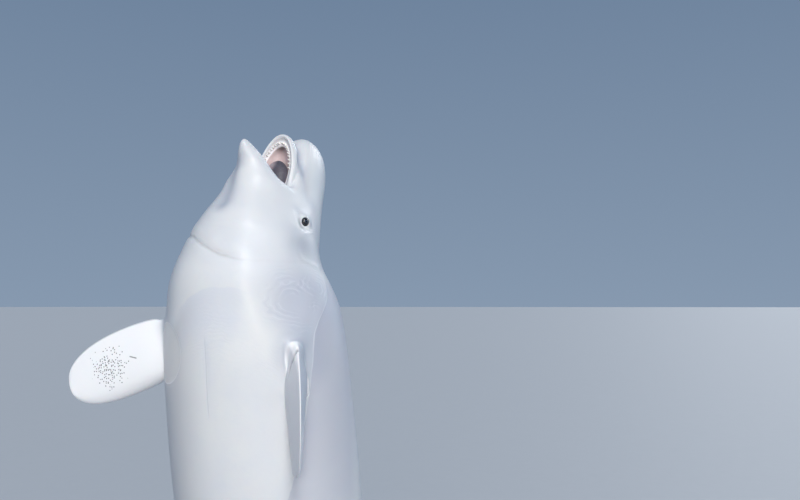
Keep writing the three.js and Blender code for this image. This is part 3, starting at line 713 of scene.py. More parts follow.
def eye_finish():
    f = Finish("beluga_eye", (0.002, 0.002, 0.004))
    out = f.attribute("iris")
    fibre = f.noise(160, 3, 0.6)
    iris = f.over(f.step(fibre, 0.4, 0.65), (0.012, 0.014, 0.024), (0.035, 0.03, 0.032))
    f.paint(f.step(out, 0.5, 0.56), iris)
    f.paint(f.step(out, 0.88, 1.0), (0.05, 0.05, 0.06))
    # A painted reflection: a bluish ring round the pupil, brighter towards the top.
    ring = f.band(out, 0.24, 0.34, 0.05) * f.step(f.from_chest()[2], 470.0, 486.0, 0.25, 1.0)
    f.paint(ring * 0.8, (0.10, 0.13, 0.20))
    return f.finished(fibre, 0.0002, 0.3, Roughness=0.06, Coat_Weight=0.35, Coat_Roughness=0.03,
                      Specular_IOR_Level=0.4)


def tooth_finish():
    f = Finish("ivory_tooth", (0.96, 0.94, 0.90))
    grain = f.noise(180, 4, 0.6)
    f.paint(f.step(grain, 0.35, 0.7), (0.84, 0.79, 0.70))
    return f.finished(grain, 0.0004, Roughness=grain * 0.2 + 0.2, Coat_Weight=0.3)


def tongue_finish():
    """Dark and mottled, the darkness partly painted shade, with pinkish flesh at its right edge painted as
    its lit side.
    """
    f = Finish("tongue_flesh", (0.085, 0.076, 0.098))
    f.paint(f.step(f.noise(16, 4, 0.6), 0.35, 0.7) * 0.6, (0.045, 0.041, 0.058))
    f.paint(f.step(f.noise(85, 3, 0.7), 0.52, 0.66) * 0.35, (0.15, 0.14, 0.165))
    # Painted light: the pinkish lit side of the tongue.
    f.paint(f.step(f.distance(metres(-34, 84, 742)), 0.066, 0.036) * 0.85, (0.46, 0.355, 0.375))
    bumps = f.node("ShaderNodeTexVoronoi", {"feature": "SMOOTH_F1"}, {"Vector": f.place, "Scale": 240.0},
                   out="Distance")
    return f.finished(bumps * 0.5 + f.noise(60, 4), 0.0014, 0.8, Roughness=f.noise(40, 3) * 0.2 + 0.48,
                      Coat_Weight=0.12, Coat_Roughness=0.35, Subsurface_Weight=0.1, Subsurface_Scale=0.01)


def paint_finish(settings):
    f = Finish("stand_paint", settings.base_colour)
    f.paint(f.step(f.noise(420, 2), 0.55, 0.75) * 0.25, (0.16, 0.17, 0.18))
    f.paint(f.step(f.noise(5, 5, 0.6), 0.55, 0.8) * 0.2, (0.10, 0.10, 0.105))
    return f.finished(f.noise(500, 3), 0.0005, 0.7, Roughness=f.noise(3, 4) * 0.2 + 0.42)


def steel_finish():
    f = Finish("brushed_steel", (0.52, 0.53, 0.55))
    lines = f.noise(1.0, 5, 0.65, f.moved((0, 0, 0), scale=(30, 30, 900)))
    f.paint(f.step(lines, 0.3, 0.7), (0.40, 0.41, 0.43))
    return f.finished(lines, 0.0003, 0.6, Metallic=1.0, Roughness=lines * 0.22 + 0.22)


def rubber_finish():
    f = Finish("pad_rubber", (0.025, 0.025, 0.028))
    f.paint(f.step(f.noise(90, 3), 0.4, 0.7), (0.05, 0.05, 0.055))
    return f.finished(f.noise(600, 2), 0.0004, Roughness=f.noise(60, 3) * 0.2 + 0.6)


def floor_finish():
    f = Finish("studio_floor", (0.50, 0.52, 0.54))
    f.paint(f.noise(0.8, 4) * 0.25, (0.46, 0.48, 0.50))
    f.set(Base_Color=f.colour, Roughness=f.noise(4, 3) * 0.15 + 0.55)
    return f.material


# Mesh helpers


def deselect_all():
    if bpy.context.object and bpy.context.object.mode != "OBJECT":
        bpy.ops.object.mode_set(mode="OBJECT")
    bpy.ops.object.select_all(action="DESELECT")


def named(name):
    """Names the primitive that was just added."""
    made = bpy.context.object
    made.name = made.data.name = name
    return made


def only(obj):
    deselect_all()
    obj.select_set(True)
    bpy.context.view_layer.objects.active = obj


def edit_nothing(obj, kind):
    """Enters edit mode with nothing selected, to pick faces (FACE) or edges (EDGE)."""
    bpy.ops.object.mode_set(mode="EDIT")
    bpy.ops.mesh.select_mode(type=kind)
    bpy.ops.mesh.select_all(action="DESELECT")
    return bmesh.from_edit_mesh(obj.data)


def edit_faces(obj, wanted):
    """Enters edit mode with only the wanted faces selected."""
    for face in edit_nothing(obj, "FACE").faces:
        if wanted(face):
            face.select_set(True)
    bmesh.update_edit_mesh(obj.data)


def edit_edges(obj, wanted):
    """Enters edit mode with only the edges selected whose two ends are wanted."""
    for edge in edit_nothing(obj, "EDGE").edges:
        if wanted(*(vert.co for vert in edge.verts)):
            edge.select_set(True)
    bmesh.update_edit_mesh(obj.data)


def place_origin(obj):
    """Puts the object's place, turn and scale into its mesh."""
    only(obj)
    bpy.ops.object.transform_apply(location=True, rotation=True, scale=True)


def apply_modifiers(obj):
    only(obj)
    for modifier in list(obj.modifiers):
        bpy.ops.object.modifier_apply(modifier=modifier.name)


def smooth_by_subdivision(obj, levels):
    modifier = obj.modifiers.new("round", "SUBSURF")
    modifier.levels = modifier.render_levels = levels
    apply_modifiers(obj)


def bevel_edges(obj, width):
    modifier = obj.modifiers.new("edges", "BEVEL")
    modifier.width, modifier.segments, modifier.limit_method = width, 2, "ANGLE"
    apply_modifiers(obj)


def joined(name, pieces):
    """The pieces as one object of that name."""
    only(pieces[0])
    for piece in pieces:
        piece.select_set(True)
    bpy.ops.object.join()
    made = named(name)
    place_origin(made)
    return made


def dress(obj, material, smooth_angle=None):
    """Shades the piece smooth, all over or below an angle in degrees, and gives it its one material."""
    only(obj)
    if smooth_angle is None:
        bpy.ops.object.shade_smooth()
    else:
        bpy.ops.object.shade_smooth_by_angle(angle=math.radians(smooth_angle))
    obj.data.materials.clear()
    obj.data.materials.append(material)


def read_vectors(items, name):
    """A vector of each of a mesh's vertices or normals, as rows of an array."""
    values = np.empty(len(items) * 3, np.float32)
    items.foreach_get(name, values)
    return values.reshape(-1, 3).astype(float)


def mesh_arrays(obj):
    """Places in millimetres about the chest, and normals, of the vertices."""
    return from_chest(read_vectors(obj.data.vertices, "co")), read_vectors(obj.data.vertex_normals, "vector")


def write_places(obj, places):
    obj.data.vertices.foreach_set("co", in_frame(places).astype(np.float32).ravel())
    obj.data.update()


def read_attribute(obj, name):
    values = np.empty(len(obj.data.vertices), np.float32)
    obj.data.attributes[name].data.foreach_get("value", values)
    return values


def write_attribute(obj, name, values):
    layer = obj.data.attributes.get(name) or obj.data.attributes.new(name, "FLOAT", "POINT")
    layer.data.foreach_set("value", np.asarray(values, np.float32))


def disc(u, v):
    """A place of the square from -1 to 1 as a place of the disc."""
    return u * math.sqrt(1 - v * v / 2), v * math.sqrt(1 - u * u / 2)


class Block:
    """A rectangle of the cage's faces, which extrusion grows into the limb or small part of that number."""

    def __init__(self, obj, rings, segments, number):
        self.obj, self.rings, self.segments, self.number = obj, rings, segments, number
        self.select()

    def grid(self, ring, segment):
        low, high = self.rings
        first, last = self.segments
        middle = (first + last) / 2
        wrapped = (segment - middle + SEGMENTS / 2) % SEGMENTS - SEGMENTS / 2
        return (2 * ring - low - high) / (high - low), 2 * wrapped / (last - first)

    def plain(self, u, v):
        """The skin as it was before anything grew from it, at a place of the block."""
        (low, high), (first, last) = self.rings, self.segments
        angle = np.radians([(v * (last - first) + first + last) / 2 * 360 / SEGMENTS])
        t = np.interp([(u * (high - low) + low + high) / 2], np.arange(len(RINGS)), RINGS)
        return skin_places(follow_crease(t, angle), angle)[0]

    def layers(self, bm):
        """Where the vertices keep their ring, their segment and the number of the part that they grew in."""
        return bm.verts.layers.int["ring"], bm.verts.layers.int["segment"], bm.verts.layers.float["part"]

    def select(self):
        only(self.obj)
        bm = edit_nothing(self.obj, "FACE")
        ring, segment, part = self.layers(bm)

        def inside(vert):
            u, v = self.grid(vert[ring], vert[segment])
            return abs(u) < 1.001 and abs(v) < 1.001 and vert[ring] >= 0 and vert[part] == 0

        for face in bm.faces:
            if all(inside(vert) for vert in face.verts):
                face.select_set(True)
        bmesh.update_edit_mesh(self.obj.data)

    def grow(self, place, weight=1):
        """Extrudes the selected cap and moves each of its vertices to place(u, v, at_edge), or only a share
        of the way from the plain skin, where the weight is less than 1."""
        bpy.ops.mesh.extrude_region_move()
        bm = bmesh.from_edit_mesh(self.obj.data)
        ring, segment, part = self.layers(bm)
        for vert in bm.verts:
            if vert.select:
                u, v = self.grid(vert[ring], vert[segment])
                spot = place(u, v, max(abs(u), abs(v)) > 0.999)
                if weight < 1:
                    spot = spot * weight + self.plain(u, v) * (1 - weight)
                vert.co = Vector(in_frame(spot))
                vert[part] = self.number
        bmesh.update_edit_mesh(self.obj.data)

    def sharpen(self, amount):
        """Creases the edges along the leading edge of the limb that was grown."""
        bm = edit_nothing(self.obj, "EDGE")
        ring, segment, part = self.layers(bm)

        def leading(vert):
            u, v = self.grid(vert[ring], vert[segment])
            return vert[part] == self.number and u > 0.999 and abs(v) < 0.001

        for edge in bm.edges:
            if all(leading(vert) for vert in edge.verts):
                edge.select_set(True)
        bmesh.update_edit_mesh(self.obj.data)
        bpy.ops.transform.edge_crease(value=amount)

    def done(self):
        bpy.ops.object.mode_set(mode="OBJECT")


def section_place(section, swell, bulge=0.0):
    """Where a cap's places go on a limb's cross-section. swell shapes the thickness, bulge rounds the cap."""
    middle, ahead, face, half, thick, along = section

    def place(u, v, at_edge):
        x, y = disc(u, v)
        out = 0 if at_edge else bulge * (1 - u * u) * (1 - v * v)
        return middle + ahead * x * half + face * y * thick * swell(x) + along * out

    return place


def path_distance(places, path):
    """Distance of each place from a path of points, and the share of the path where it is nearest."""
    path = np.array(path, float)
    best = np.full(len(places), 1e9)
    share = np.zeros(len(places))
    for i, (a, b) in enumerate(zip(path[:-1], path[1:])):
        d = b - a
        w = np.clip(((places - a) @ d) / (d @ d), 0, 1)
        gap = np.linalg.norm(places - a - w[:, None] * d, axis=1)
        nearer = gap < best
        best[nearer] = gap[nearer]
        share[nearer] = (i + w[nearer]) / (len(path) - 1)
    return best, share


def smooth_path(points, count=40):
    """A smooth path through a few points."""
    return catmull(np.array(points, float), np.linspace(0, len(points) - 1, count))


def bell(x, width):
    """1 at nothing, falling off smoothly over the width."""
    return np.exp(-((x / width) ** 2))


def dent(places, centre, radii):
    """1 at a centre, falling off smoothly over the radii along x, y and z."""
    return bell(np.linalg.norm((places - centre) / radii, axis=1), 1)


def fade(x, low, high):
    """0 below low and 1 above high, smoothly."""
    w = np.clip((x - low) / (high - low), 0, 1)
    return w * w * (3 - 2 * w)


# Settings


def length_setting(name, description, default, low, high):
    return bpy.props.FloatProperty(
        name=name, description=description, default=default, min=low, max=high, unit="LENGTH")


def colour_setting(name, description, default):
    return bpy.props.FloatVectorProperty(
        name=name, description=description, default=default, min=0, max=1, subtype="COLOR")


def power_setting(name, description, default):
    return bpy.props.FloatProperty(name=name, description=description, default=default, min=0)


class WhaleSettings(bpy.types.PropertyGroup):
    """Sizes and colours of the whale."""

    crease_depth: length_setting("Neck crease", "Depth of the crease between neck and chest", 0.0045, 0, 0.02)
    fold_height: length_setting("Skin folds", "Height of the soft folds round the shoulders", 0.003, 0, 0.02)
    tooth_height: length_setting("Tooth height", "How far the teeth stand out of the gum", 0.011, 0.004, 0.02)
    skin_colour: colour_setting("Skin", "Main colour of the skin", (0.77, 0.775, 0.765))
    # The clouds' colour, also used for painted shade beside the belly crease and round the eyes.
    cloud_and_shade_colour: colour_setting("Skin clouds", "Colour of the cooler clouds in the skin", (0.62, 0.65, 0.73))
    # The colour of painted shade in hollows and where the skin turns away from the view.
    painted_shade_colour: colour_setting("Skin hollows", "Colour of the skin where it sinks in", (0.42, 0.45, 0.52))
    flipper_colour: colour_setting("Flippers", "Colour of the flippers", (0.93, 0.93, 0.93))
    palate_colour: colour_setting("Palate", "Colour inside the mouth", (0.68, 0.53, 0.52))


class StandSettings(bpy.types.PropertyGroup):
    """Sizes and colours of the display stand."""

    base_colour: colour_setting("Base", "Colour of the painted base", (0.045, 0.05, 0.06))
    base_bevel: length_setting("Base edge", "Rounding of the base's upper edge", 0.012, 0.001, 0.03)
    bolts: bpy.props.IntProperty(
        name="Bolts", description="Bolts in each foot plate", default=6, min=3, max=12)


class StageSettings(bpy.types.PropertyGroup):
    """The studio."""

    key_power: power_setting("Key light", "Strength of the high front light", 1.95)
    front_power: power_setting("Front light", "Strength of the low front light", 1.0)
    rim_power: power_setting("Rim light", "Strength of the cool light from behind", 0.2)
    back_power: power_setting("Back light", "Strength of the light on the back", 0.6)
    horizon: colour_setting("Low backdrop", "Colour of the backdrop near the floor", (0.22, 0.29, 0.39))
    zenith: colour_setting("High backdrop", "Colour of the backdrop overhead", (0.08, 0.14, 0.24))
    air_strength: power_setting("Backdrop light", "Brightness of the backdrop", 1.1)


# The skin


def cage():
    """A sphere whose rings are moved on to the skin, tail at its lower pole and throat at its upper one."""
    deselect_all()
    count = len(RINGS)
    bpy.ops.mesh.primitive_uv_sphere_add(segments=SEGMENTS, ring_count=count + 1, radius=1)
    obj = named("beluga_skin")
    ball = read_vectors(obj.data.vertices, "co")
    height = math.pi - np.arccos(np.clip(ball[:, 2], -1, 1))
    ring = np.rint(height / math.pi * (count + 1)).astype(int) - 1
    segment = np.rint(np.arctan2(ball[:, 0], ball[:, 1]) / (2 * math.pi) * SEGMENTS).astype(int) % SEGMENTS
    angle = segment * 2 * math.pi / SEGMENTS
    inner = (ring >= 0) & (ring < count)
    places = np.zeros((len(ball), 3))
    t = follow_crease(RINGS[np.clip(ring, 0, count - 1)], angle)
    places[inner] = skin_places(t[inner], angle[inner])
    places[ring < 0], places[ring >= count] = TAIL_POLE, THROAT_POLE
    write_places(obj, places)
    for name, values in (("ring", np.where(inner, ring, -9)), ("segment", segment)):
        layer = obj.data.attributes.new(name, "INT", "POINT")
        layer.data.foreach_set("value", values.astype(np.int32))
    write_attribute(obj, "station", np.where(inner, t, np.where(ring < 0, 0, len(STATIONS))))
    write_attribute(obj, "part", np.zeros(len(ball)))
    return obj


def follow_crease(t, angle):
    """Moves the rings near the neck crease along the body so that one of them follows it."""
    near, far = 12.3, 16.6
    left = np.sin(angle)
    front = fade(-np.cos(angle), -0.45, 0.35)
    shift = front * (0.85 * fade(-left, 0.0, 0.9) - 0.02 * left)
    rise = fade(t, near, CREASE_STATION) * (1 - fade(t, CREASE_STATION, far))
    return t + shift * rise


def ring_near(z, segment, first, last):
    """The ring whose vertex in a segment is nearest a height, between two rings."""
    angle = segment * 2 * math.pi / SEGMENTS
    rings = np.arange(first, last)
    heights = skin_places(RINGS[rings], np.full(len(rings), angle))[:, 2]
    return int(rings[np.abs(heights - z).argmin()])


def ring_of_station(station):
    return int(np.abs(RINGS - station).argmin())


class PlainSkin:
    """The body's skin before anything grows from it, to lay other places on."""

    def __init__(self):
        t, angle = (v.ravel() for v in np.meshgrid(np.linspace(8, 13.5, 180), np.radians(range(0, 360, 2))))
        self.places = skin_places(t, angle)
        along = skin_places(t + 0.01, angle) - self.places
        round_it = skin_places(t, angle + 0.01) - self.places
        normals = np.cross(along, round_it)
        normals *= np.sign((normals * self.places * (1, 1, 0)).sum(1))[:, None]
        self.normals = normals / np.linalg.norm(normals, axis=1)[:, None]
        self.tree = KDTree(len(self.places))
        for i, place in enumerate(self.places):
            self.tree.insert(place, i)
        self.tree.balance()

    def lifted(self, place, least):
        """The place, moved out where needed so that it is at least so high over the skin."""
        i = self.tree.find(place)[1]
        height = (place - self.places[i]) @ self.normals[i]
        return place + self.normals[i] * max(least - height, 0)


def grow_flippers(obj):
    """Extrudes both flippers cap by cap, on rings and segments of the cage by the shoulders."""
    skin = PlainSkin()
    for hand, segments, low, high in (("left", (15, 17), -205, 10), ("right", (31, 33), -140, 80)):
        pose = FLIPPER_POSE[hand]
        middle = sum(segments) // 2
        first, last = ring_of_station(9), ring_of_station(13)
        rings = (ring_near(low, middle, first, last), ring_near(high, middle, first, last))
        block = Block(obj, rings, segments, pose["side"] * FLIPPER)
        for t in FLIPPER_CAPS:
            spot = section_place(flipper_section(pose, t), wedge)
            least = ROOT_LIFT if t == FLIPPER_CAPS[0] else FREE_LIFT
            block.grow(lambda u, v, at_edge: skin.lifted(spot(u, v, at_edge), least))
        block.grow(section_place(flipper_section(pose, FLIPPER_END), wedge, TIP_BULGE))
        block.sharpen(0.55)
        block.done()


def grow_flukes(obj):
    """Extrudes both flukes cap by cap from the end of the tail stock."""
    for side, segments in FLANK_SEGMENTS.items():
        block = Block(obj, (0, ring_of_station(2.5)), segments, side * FLUKE)
        for share in FLUKE_CAPS:
            block.grow(section_place(fluke_section(side, share), bladed))
        block.grow(section_place(fluke_section(side, FLUKE_END), bladed, TIP_BULGE))
        block.done()


def eye_axes(side):
    """The eyeball's middle, and the ways out, back across the eye, and up."""
    turn = math.radians(EYE_TURN)
    out = np.array([side * math.cos(turn), -math.sin(turn), 0])
    across = np.array([side * math.sin(turn), math.cos(turn), 0])
    middle = np.array([side * EYE_AT[0], EYE_AT[1], EYE_AT[2]], float)
    return middle, out, across, np.array([0, 0, 1.0])


# Rings round the eye: half-width, half-height, share of the way from the flank to the lids' plane, rise, and
# share of the way from the plain skin to the ring

LIDS = [(50, 51, 0.0, 0, 0.5), (43, 45, 0.10, 0, 0.9), (36, 37.5, 0.36, 0, 1), (29, 30.5, 0.72, 0, 1),
        (22.8, 24.2, 0.95, 0.4, 1), (18.8, 20, 1, 1.4, 1), (17.4, 18.4, 1, 0.2, 1), (17.6, 18.6, 1, -6, 1),
        (12, 13, 1, -LID_OUT - EYE_RADIUS - 5, 1)]

# Rings of the ear: radius, rise, and share of the way from the plain skin to the ring

EAR_RINGS = [(16, 0, 0.5), (10, 0.2, 1), (6, 0.5, 1), (4, 0, 1), (2.8, -3, 1), (2.4, -9, 1)]

# Rings of the blowhole: half-width, half-length, how far it bows, rise, and share as above

BLOWHOLE_RINGS = [(60, 30, 6, 0, 0.5), (53, 25, 9, 1.0, 1), (48, 18, 12, 4.0, 1),
                  (44, 11, 14, 5.0, 1), (41, 6, 14, 0.5, 1), (39, 4, 14, -14, 1)]


def shape_eyes(obj):
    """Grows the skin into the low swelling, the lids and the socket of each eye."""
    grid = np.meshgrid(np.linspace(14.8, 19.5, 60), np.radians(range(55, 116)))
    samples = skin_places(*(v.ravel() for v in grid))
    for side, segments in FLANK_SEGMENTS.items():
        middle, out, across, up = eye_axes(side)
        near = samples * (side, 1, 1) - middle
        flat = np.column_stack([near @ across, near @ up])
        height = near @ out
        block = Block(obj, (ring_of_station(16), ring_of_station(18 + 1 / 3)), segments, LID)

        def flank_height(a, b):
            gap = ((flat - (a, b)) ** 2).sum(1)
            pick = np.argsort(gap)[:6]
            weight = 1 / (gap[pick] + 1)
            return (height[pick] * weight).sum() / weight.sum()

        for width, tall, share, rise, weight in LIDS:
            def place(u, v, at_edge):
                x, y = disc(-side * v, u)
                a, b = x * width, y * tall
                level = (1 - share) * flank_height(a, b) + share * LID_OUT + rise
                return middle + across * a + up * b + out * level

            block.grow(place, weight)
        block.done()


def shape_ears(obj):
    """Sinks a pinhole ear behind each eye."""
    for side, segments in ((1, (8, 10)), (-1, (38, 40))):
        block = Block(obj, (ring_of_station(15), ring_of_station(16)), segments, EAR)
        centre = block.plain(0, 0)
        out = np.cross(block.plain(0, 0.3) - block.plain(0, -0.3), block.plain(0.3, 0) - block.plain(-0.3, 0))
        out *= side * np.sign(out[0]) / np.linalg.norm(out)
        up = np.array([0, 0, 1.0])
        up -= out * (up @ out)
        across = np.cross(out, up)
        for radius, rise, weight in EAR_RINGS:
            def place(u, v, at_edge):
                x, y = disc(-v, u)
                return centre + across * x * radius + up * y * radius + out * rise

            block.grow(place, weight)
        block.done()


def blowhole_place(x, y, bow, rise):
    """A place of the blowhole: x and y across and along the head, bow is how far the crescent bends."""
    centre = skin_places(BLOWHOLE_STATION, 0.0)[0]
    ahead = skin_places(BLOWHOLE_STATION + 0.15, 0.0)[0] - skin_places(BLOWHOLE_STATION - 0.15, 0.0)[0]
    ahead /= np.linalg.norm(ahead)
    across = np.array([1.0, 0, 0])
    out = np.cross(across, ahead)
    out *= np.sign(out[1])
    bend = bow * (0.4 - (x / BLOWHOLE_HALF_WIDTH) ** 2)
    return centre + across * x + ahead * (y - bend) + out * (rise - x * x / 440)


def shape_blowhole(obj):
    """A crescent slit with soft lips on top of the head, its horns pointing forwards."""
    first, last = ring_of_station(16), ring_of_station(19)
    height = skin_places(BLOWHOLE_STATION, 0.0)[0][2]
    rings = (ring_near(height - 40, 0, first, last), ring_near(height + 40, 0, first, last))
    block = Block(obj, (min(rings), max(rings)), (-2, 2), BLOWHOLE)
    for width, thick, bow, rise, weight in BLOWHOLE_RINGS:
        def place(u, v, at_edge):
            y, x = disc(u, v)
            return blowhole_place(x * width, y * thick, bow, rise)

        block.grow(place, weight)
    block.done()


# Where the folds and hollows of the skin run: listed points, in millimetres from the middle of the
# chest. The lip's, cheek's, shoulder's and neck's lie on the left and are mirrored to the right.

KEEL_LINE = [(60, -54, 739), (100, -170, 560), (128, -270, 397), (164, -295, 311),
             (188, -310, 191), (228, -282, 84), (269, -250, -9), (280, -230, -160)]
THROAT_LINE = [(-14, -113, 776), (-48, -105, 698), (-44, -132, 652), (-24, -180, 582),
               (-14, -220, 537), (-26, -248, 495)]
LIP_TROUGH = [(0, 236, 870), (32, 220, 863), (55, 200, 844), (74, 186, 812), (95, 166, 773),
              (112, 157, 742), (127, 147, 712), (138, 141, 684), (168, 112, 590), (196, 70, 540)]
CHEEK_FOLD = [(223, 67, 440), (246, -30, 419), (263, -75, 371), (277, -74, 327),
              (286, -45, 309), (284, 30, 292)]
SHOULDER_FOLD = [(319, 6, 231), (331, 10, 195), (346, -34, 143), (351, -76, 81),
                 (355, -94, -14), (352, -109, -81), (351, -113, -160), (350, -120, -260)]
NECK_BACK = [(236, 112, 330), (229, 103, 413), (201, 136, 481), (176, 157, 560)]
BELLY_CREASE = [(41, -360, 14), (41, -352, -80), (40, -338, -230)]
ARMPIT_LINE = [(384, -246, -14), (380, -242, -21), (369, -239, -32), (354, -236, -55),
               (340, -234, -84), (336, -238, -106), (334, -240, -140)]
KNOB_AT = (350, -205, -25)  # the rounded shoulder of the left flipper
HEAD_HEIGHT = 250  # over which no limb grows, and the eyes, ears and blowhole do


class Folds:
    """Moves the fine mesh in and out for its creases, folds and hollows, and marks them, with where shade and
    highlights are painted, for the finish.
    """

    def __init__(self, obj, settings):
        self.obj = obj
        self.places, self.normals = mesh_arrays(obj)
        self.x, self.y, self.z = self.places.T
        self.crease_depth, self.fold = settings.crease_depth / MM, settings.fold_height / MM
        self.part, self.station = read_attribute(obj, "part"), read_attribute(obj, "station")
        from_eye = np.linalg.norm(np.abs(self.places) - EYE_AT, axis=1)
        self.body = np.where(self.z > HEAD_HEIGHT, fade(from_eye, 26, 56), np.abs(self.part) < 0.5)
        self.offset = np.zeros(len(self.places))
        # How strongly shade is painted at each vertex.
        self.painted_shade = np.zeros(len(self.places))

    def mark(self, name, values):
        write_attribute(self.obj, name, values)

    def neck_crease(self):
        """The neck crease, with soft wrinkled skin above and below it."""
        x, y, z = self.x, self.y, self.z
        lumps = np.array([noise.noise(Vector(p * 0.02)) for p in self.places])
        gap = z - crease_height(x) - 6 * lumps
        front = fade(-y, -90, 60) * self.body
        strong = front * (0.10 + 0.90 * (1 - fade(x, 70, 200))) * (1 + 0.6 * lumps)
        soft = 0.45 * bell(gap - 32, 24) + 0.3 * bell(gap + 28, 24)
        self.offset += self.crease_depth * (soft - bell(gap, 9)) * strong
        cheek = bell(np.linalg.norm(self.places - (230, 60, 450), axis=1), 70) * self.body
        self.mark("wrinkled", np.clip(bell(gap, 70) * front + cheek, 0, 1))

    def throat(self):
        """The keel of the throat and breast, flattened on its left, and the hollow on its right, with painted
        shade along it.
        """
        far, _ = path_distance(self.places, smooth_path(KEEL_LINE))
        self.offset += 5 * bell(far, 52) * self.body
        self.offset -= 7 * dent(self.places, (292, -170, 160), (70, 90, 130)) * self.body
        far, share = path_distance(self.places, smooth_path(THROAT_LINE))
        open_end = 1 - fade(share, 0.7, 1.0)
        self.offset -= 10 * bell(far, 36) * fade(share, 0.0, 0.2) * open_end * self.body
        # Painted shade along the hollow.
        self.painted_shade += 0.75 * bell(far, 46) * fade(share, -0.1, 0.1) * (1 - fade(share, 0.75, 1.0))

    def head_side(self, mirrored):
        """The trough between melon and upper lip, the hollows round the eye, and the fold of the cheek, with
        painted shade in the trough and the hollows.
        """
        body = self.body
        far, share = path_distance(mirrored, smooth_path(LIP_TROUGH))
        self.offset -= 8.5 * bell(far, 17) * (1 - fade(share, 0.62, 1.0)) * body
        # Painted shade in the trough, below the eye and in the hollow before it.
        self.painted_shade += 0.80 * bell(far, 20) * fade(share, 0.12, 0.3) * (1 - fade(share, 0.62, 0.92)) * body
        self.painted_shade += 0.25 * bell(far, 36) * fade(share, 0.4, 0.7) * body
        self.offset -= 8 * dent(mirrored, (262, -70, 360), (90, 46, 58)) * body
        self.painted_shade += 0.72 * dent(mirrored, (262, -40, 382), (70, 76, 84)) * body
        far, _ = path_distance(mirrored, smooth_path(CHEEK_FOLD))
        self.offset += self.fold * 0.8 * bell(far, 12) * body
        hollow = dent(mirrored, (206, 8, 532), (40, 34, 34))
        self.offset -= 2 * hollow * body
        self.painted_shade += 0.45 * hollow * body

    def flank(self, mirrored):
        """The long fold behind the shoulder and the shaded back of the neck."""
        far, share = path_distance(mirrored, smooth_path(SHOULDER_FOLD))
        ends = fade(share, 0.0, 0.15) * (1 - fade(share, 0.55, 0.8)) * self.body
        self.offset += self.fold * (0.18 * bell(far, 12) - 0.4 * bell(far - 28, 20)) * ends
        far, _ = path_distance(mirrored, NECK_BACK)
        self.painted_shade += 0.42 * bell(far, 42) * self.body

    def patch_and_belly(self):
        """The smooth patch round the root of the right flipper, and the crease down the belly."""
        reach = np.hypot(self.x - PATCH_AT[0], self.z - PATCH_AT[1])
        self.offset -= self.fold * 0.8 * (1 - fade(reach, 108, 126)) * fade(-self.y, 150, 220) * self.body
        far, share = path_distance(self.places, smooth_path(BELLY_CREASE))
        crease = bell(far, 9) * (1 - fade(share, 0.7, 1.0)) * fade(share, 0, 0.15)
        self.offset -= self.fold * 0.5 * crease * self.body

    def left_flipper(self):
        """The rounded shoulder of the left flipper and the fold under it, and where the finish paints its
        highlight and its shade.
        """
        x, z, part = self.x, self.z, self.part
        _, ahead, face, *_ = flipper_section(FLIPPER_POSE["left"], 0.3)
        inner = self.normals @ (face if face[0] < 0 else -face)
        left = (np.abs(part - FLIPPER) < 0.5) * 1.0
        from_knob = np.linalg.norm((self.places - KNOB_AT) / (1, 1, 0.8), axis=1)
        far, share = path_distance(self.places, smooth_path(ARMPIT_LINE))
        seam = left * (1 - fade(share, 0.75, 1.0))
        self.offset += 5 * bell(from_knob, 44) * left - 6 * bell(far, 7) * seam
        # Where shade is painted in the root's crease, along the trailing edge and on the faces, and a
        # highlight on the rounded shoulder.
        self.mark("armpit_crease_shade", bell(far, 5) * seam)
        self.mark("trailing", left * fade(-(self.normals @ ahead), 0.5, 0.9) * fade(-z, 40, 90))
        below = fade(-(z + 40 + 0.9 * (x - 360)), -10, 16)
        self.mark("inner_face_shade", left * fade(inner, 0, 0.7) * below)
        self.mark("outer_face_shade", left * fade(-inner, 0.35, 0.8) * (1 - fade(from_knob, 300, 420)))
        round_it = (part > 0.3) * (part < 1.5) * (1 - fade(from_knob, 62, 96))
        self.mark("knob_highlight", round_it * (1 - below * fade(inner, -0.2, 0.3)) * (1 - fade(-inner, 0.3, 0.8)))
        root = bell(np.abs(part) - 0.16, 0.13) * (np.abs(part) < 0.9) * (x > 0) * (z < 200)
        self.mark("knob_contour_shade", root * (1 - fade(from_knob, 60, 120)))

    def mark_mouth(self):
        """How deep inside the mouth the skin is, and the hollow behind the front teeth, where shade is
        painted.
        """
        inside = np.clip((self.station - LIP_RIM) / (len(STATIONS) - 1 - LIP_RIM), 0, 1) * self.body
        self.mark("mouth", inside)
        self.mark("mouth_hollow_shade", dent(self.places, (0, 172, 842), (44, 32, 25)) * (inside > 0.40))

    def mark_small_parts(self):
        """The blowhole's slit, where shade is painted, the lids, the right flipper's front, and the flukes'
        trailing margins.
        """
        part = self.part
        far, _ = path_distance(self.places, [blowhole_place(a, 0, 14, -3) for a in np.linspace(-40, 40, 17)])
        self.mark("blowhole", bell(far, 6))
        self.mark("lid", (np.abs(part - LID) < 0.5) * 1.0)
        _, _, face, *_ = flipper_section(FLIPPER_POSE["right"], 0.6)
        self.mark("right_flipper_front", (np.abs(part + FLIPPER) < 0.5) & (self.normals @ face < 0))
        share = np.clip((np.abs(self.x) - FLUKE_ROOT_AT) / (FLUKE_HALF_SPAN - FLUKE_ROOT_AT), 0, 1)
        at = CHEST_TO_NOTCH - FLUKE_ROOT_CHORD / 2
        lean, (y, z) = lean_at(at), axis_place(at)
        along = at - ((self.y - y) * math.sin(lean) + (self.z - z) * math.cos(lean))
        margin = 1 - fade(fluke_trail(share) - along, 4, 40)
        self.mark("fluke_edge", margin * (np.abs(np.abs(part) - FLUKE) < 0.5))
        self.mark("part", np.where(self.z > HEAD_HEIGHT, 0, part))

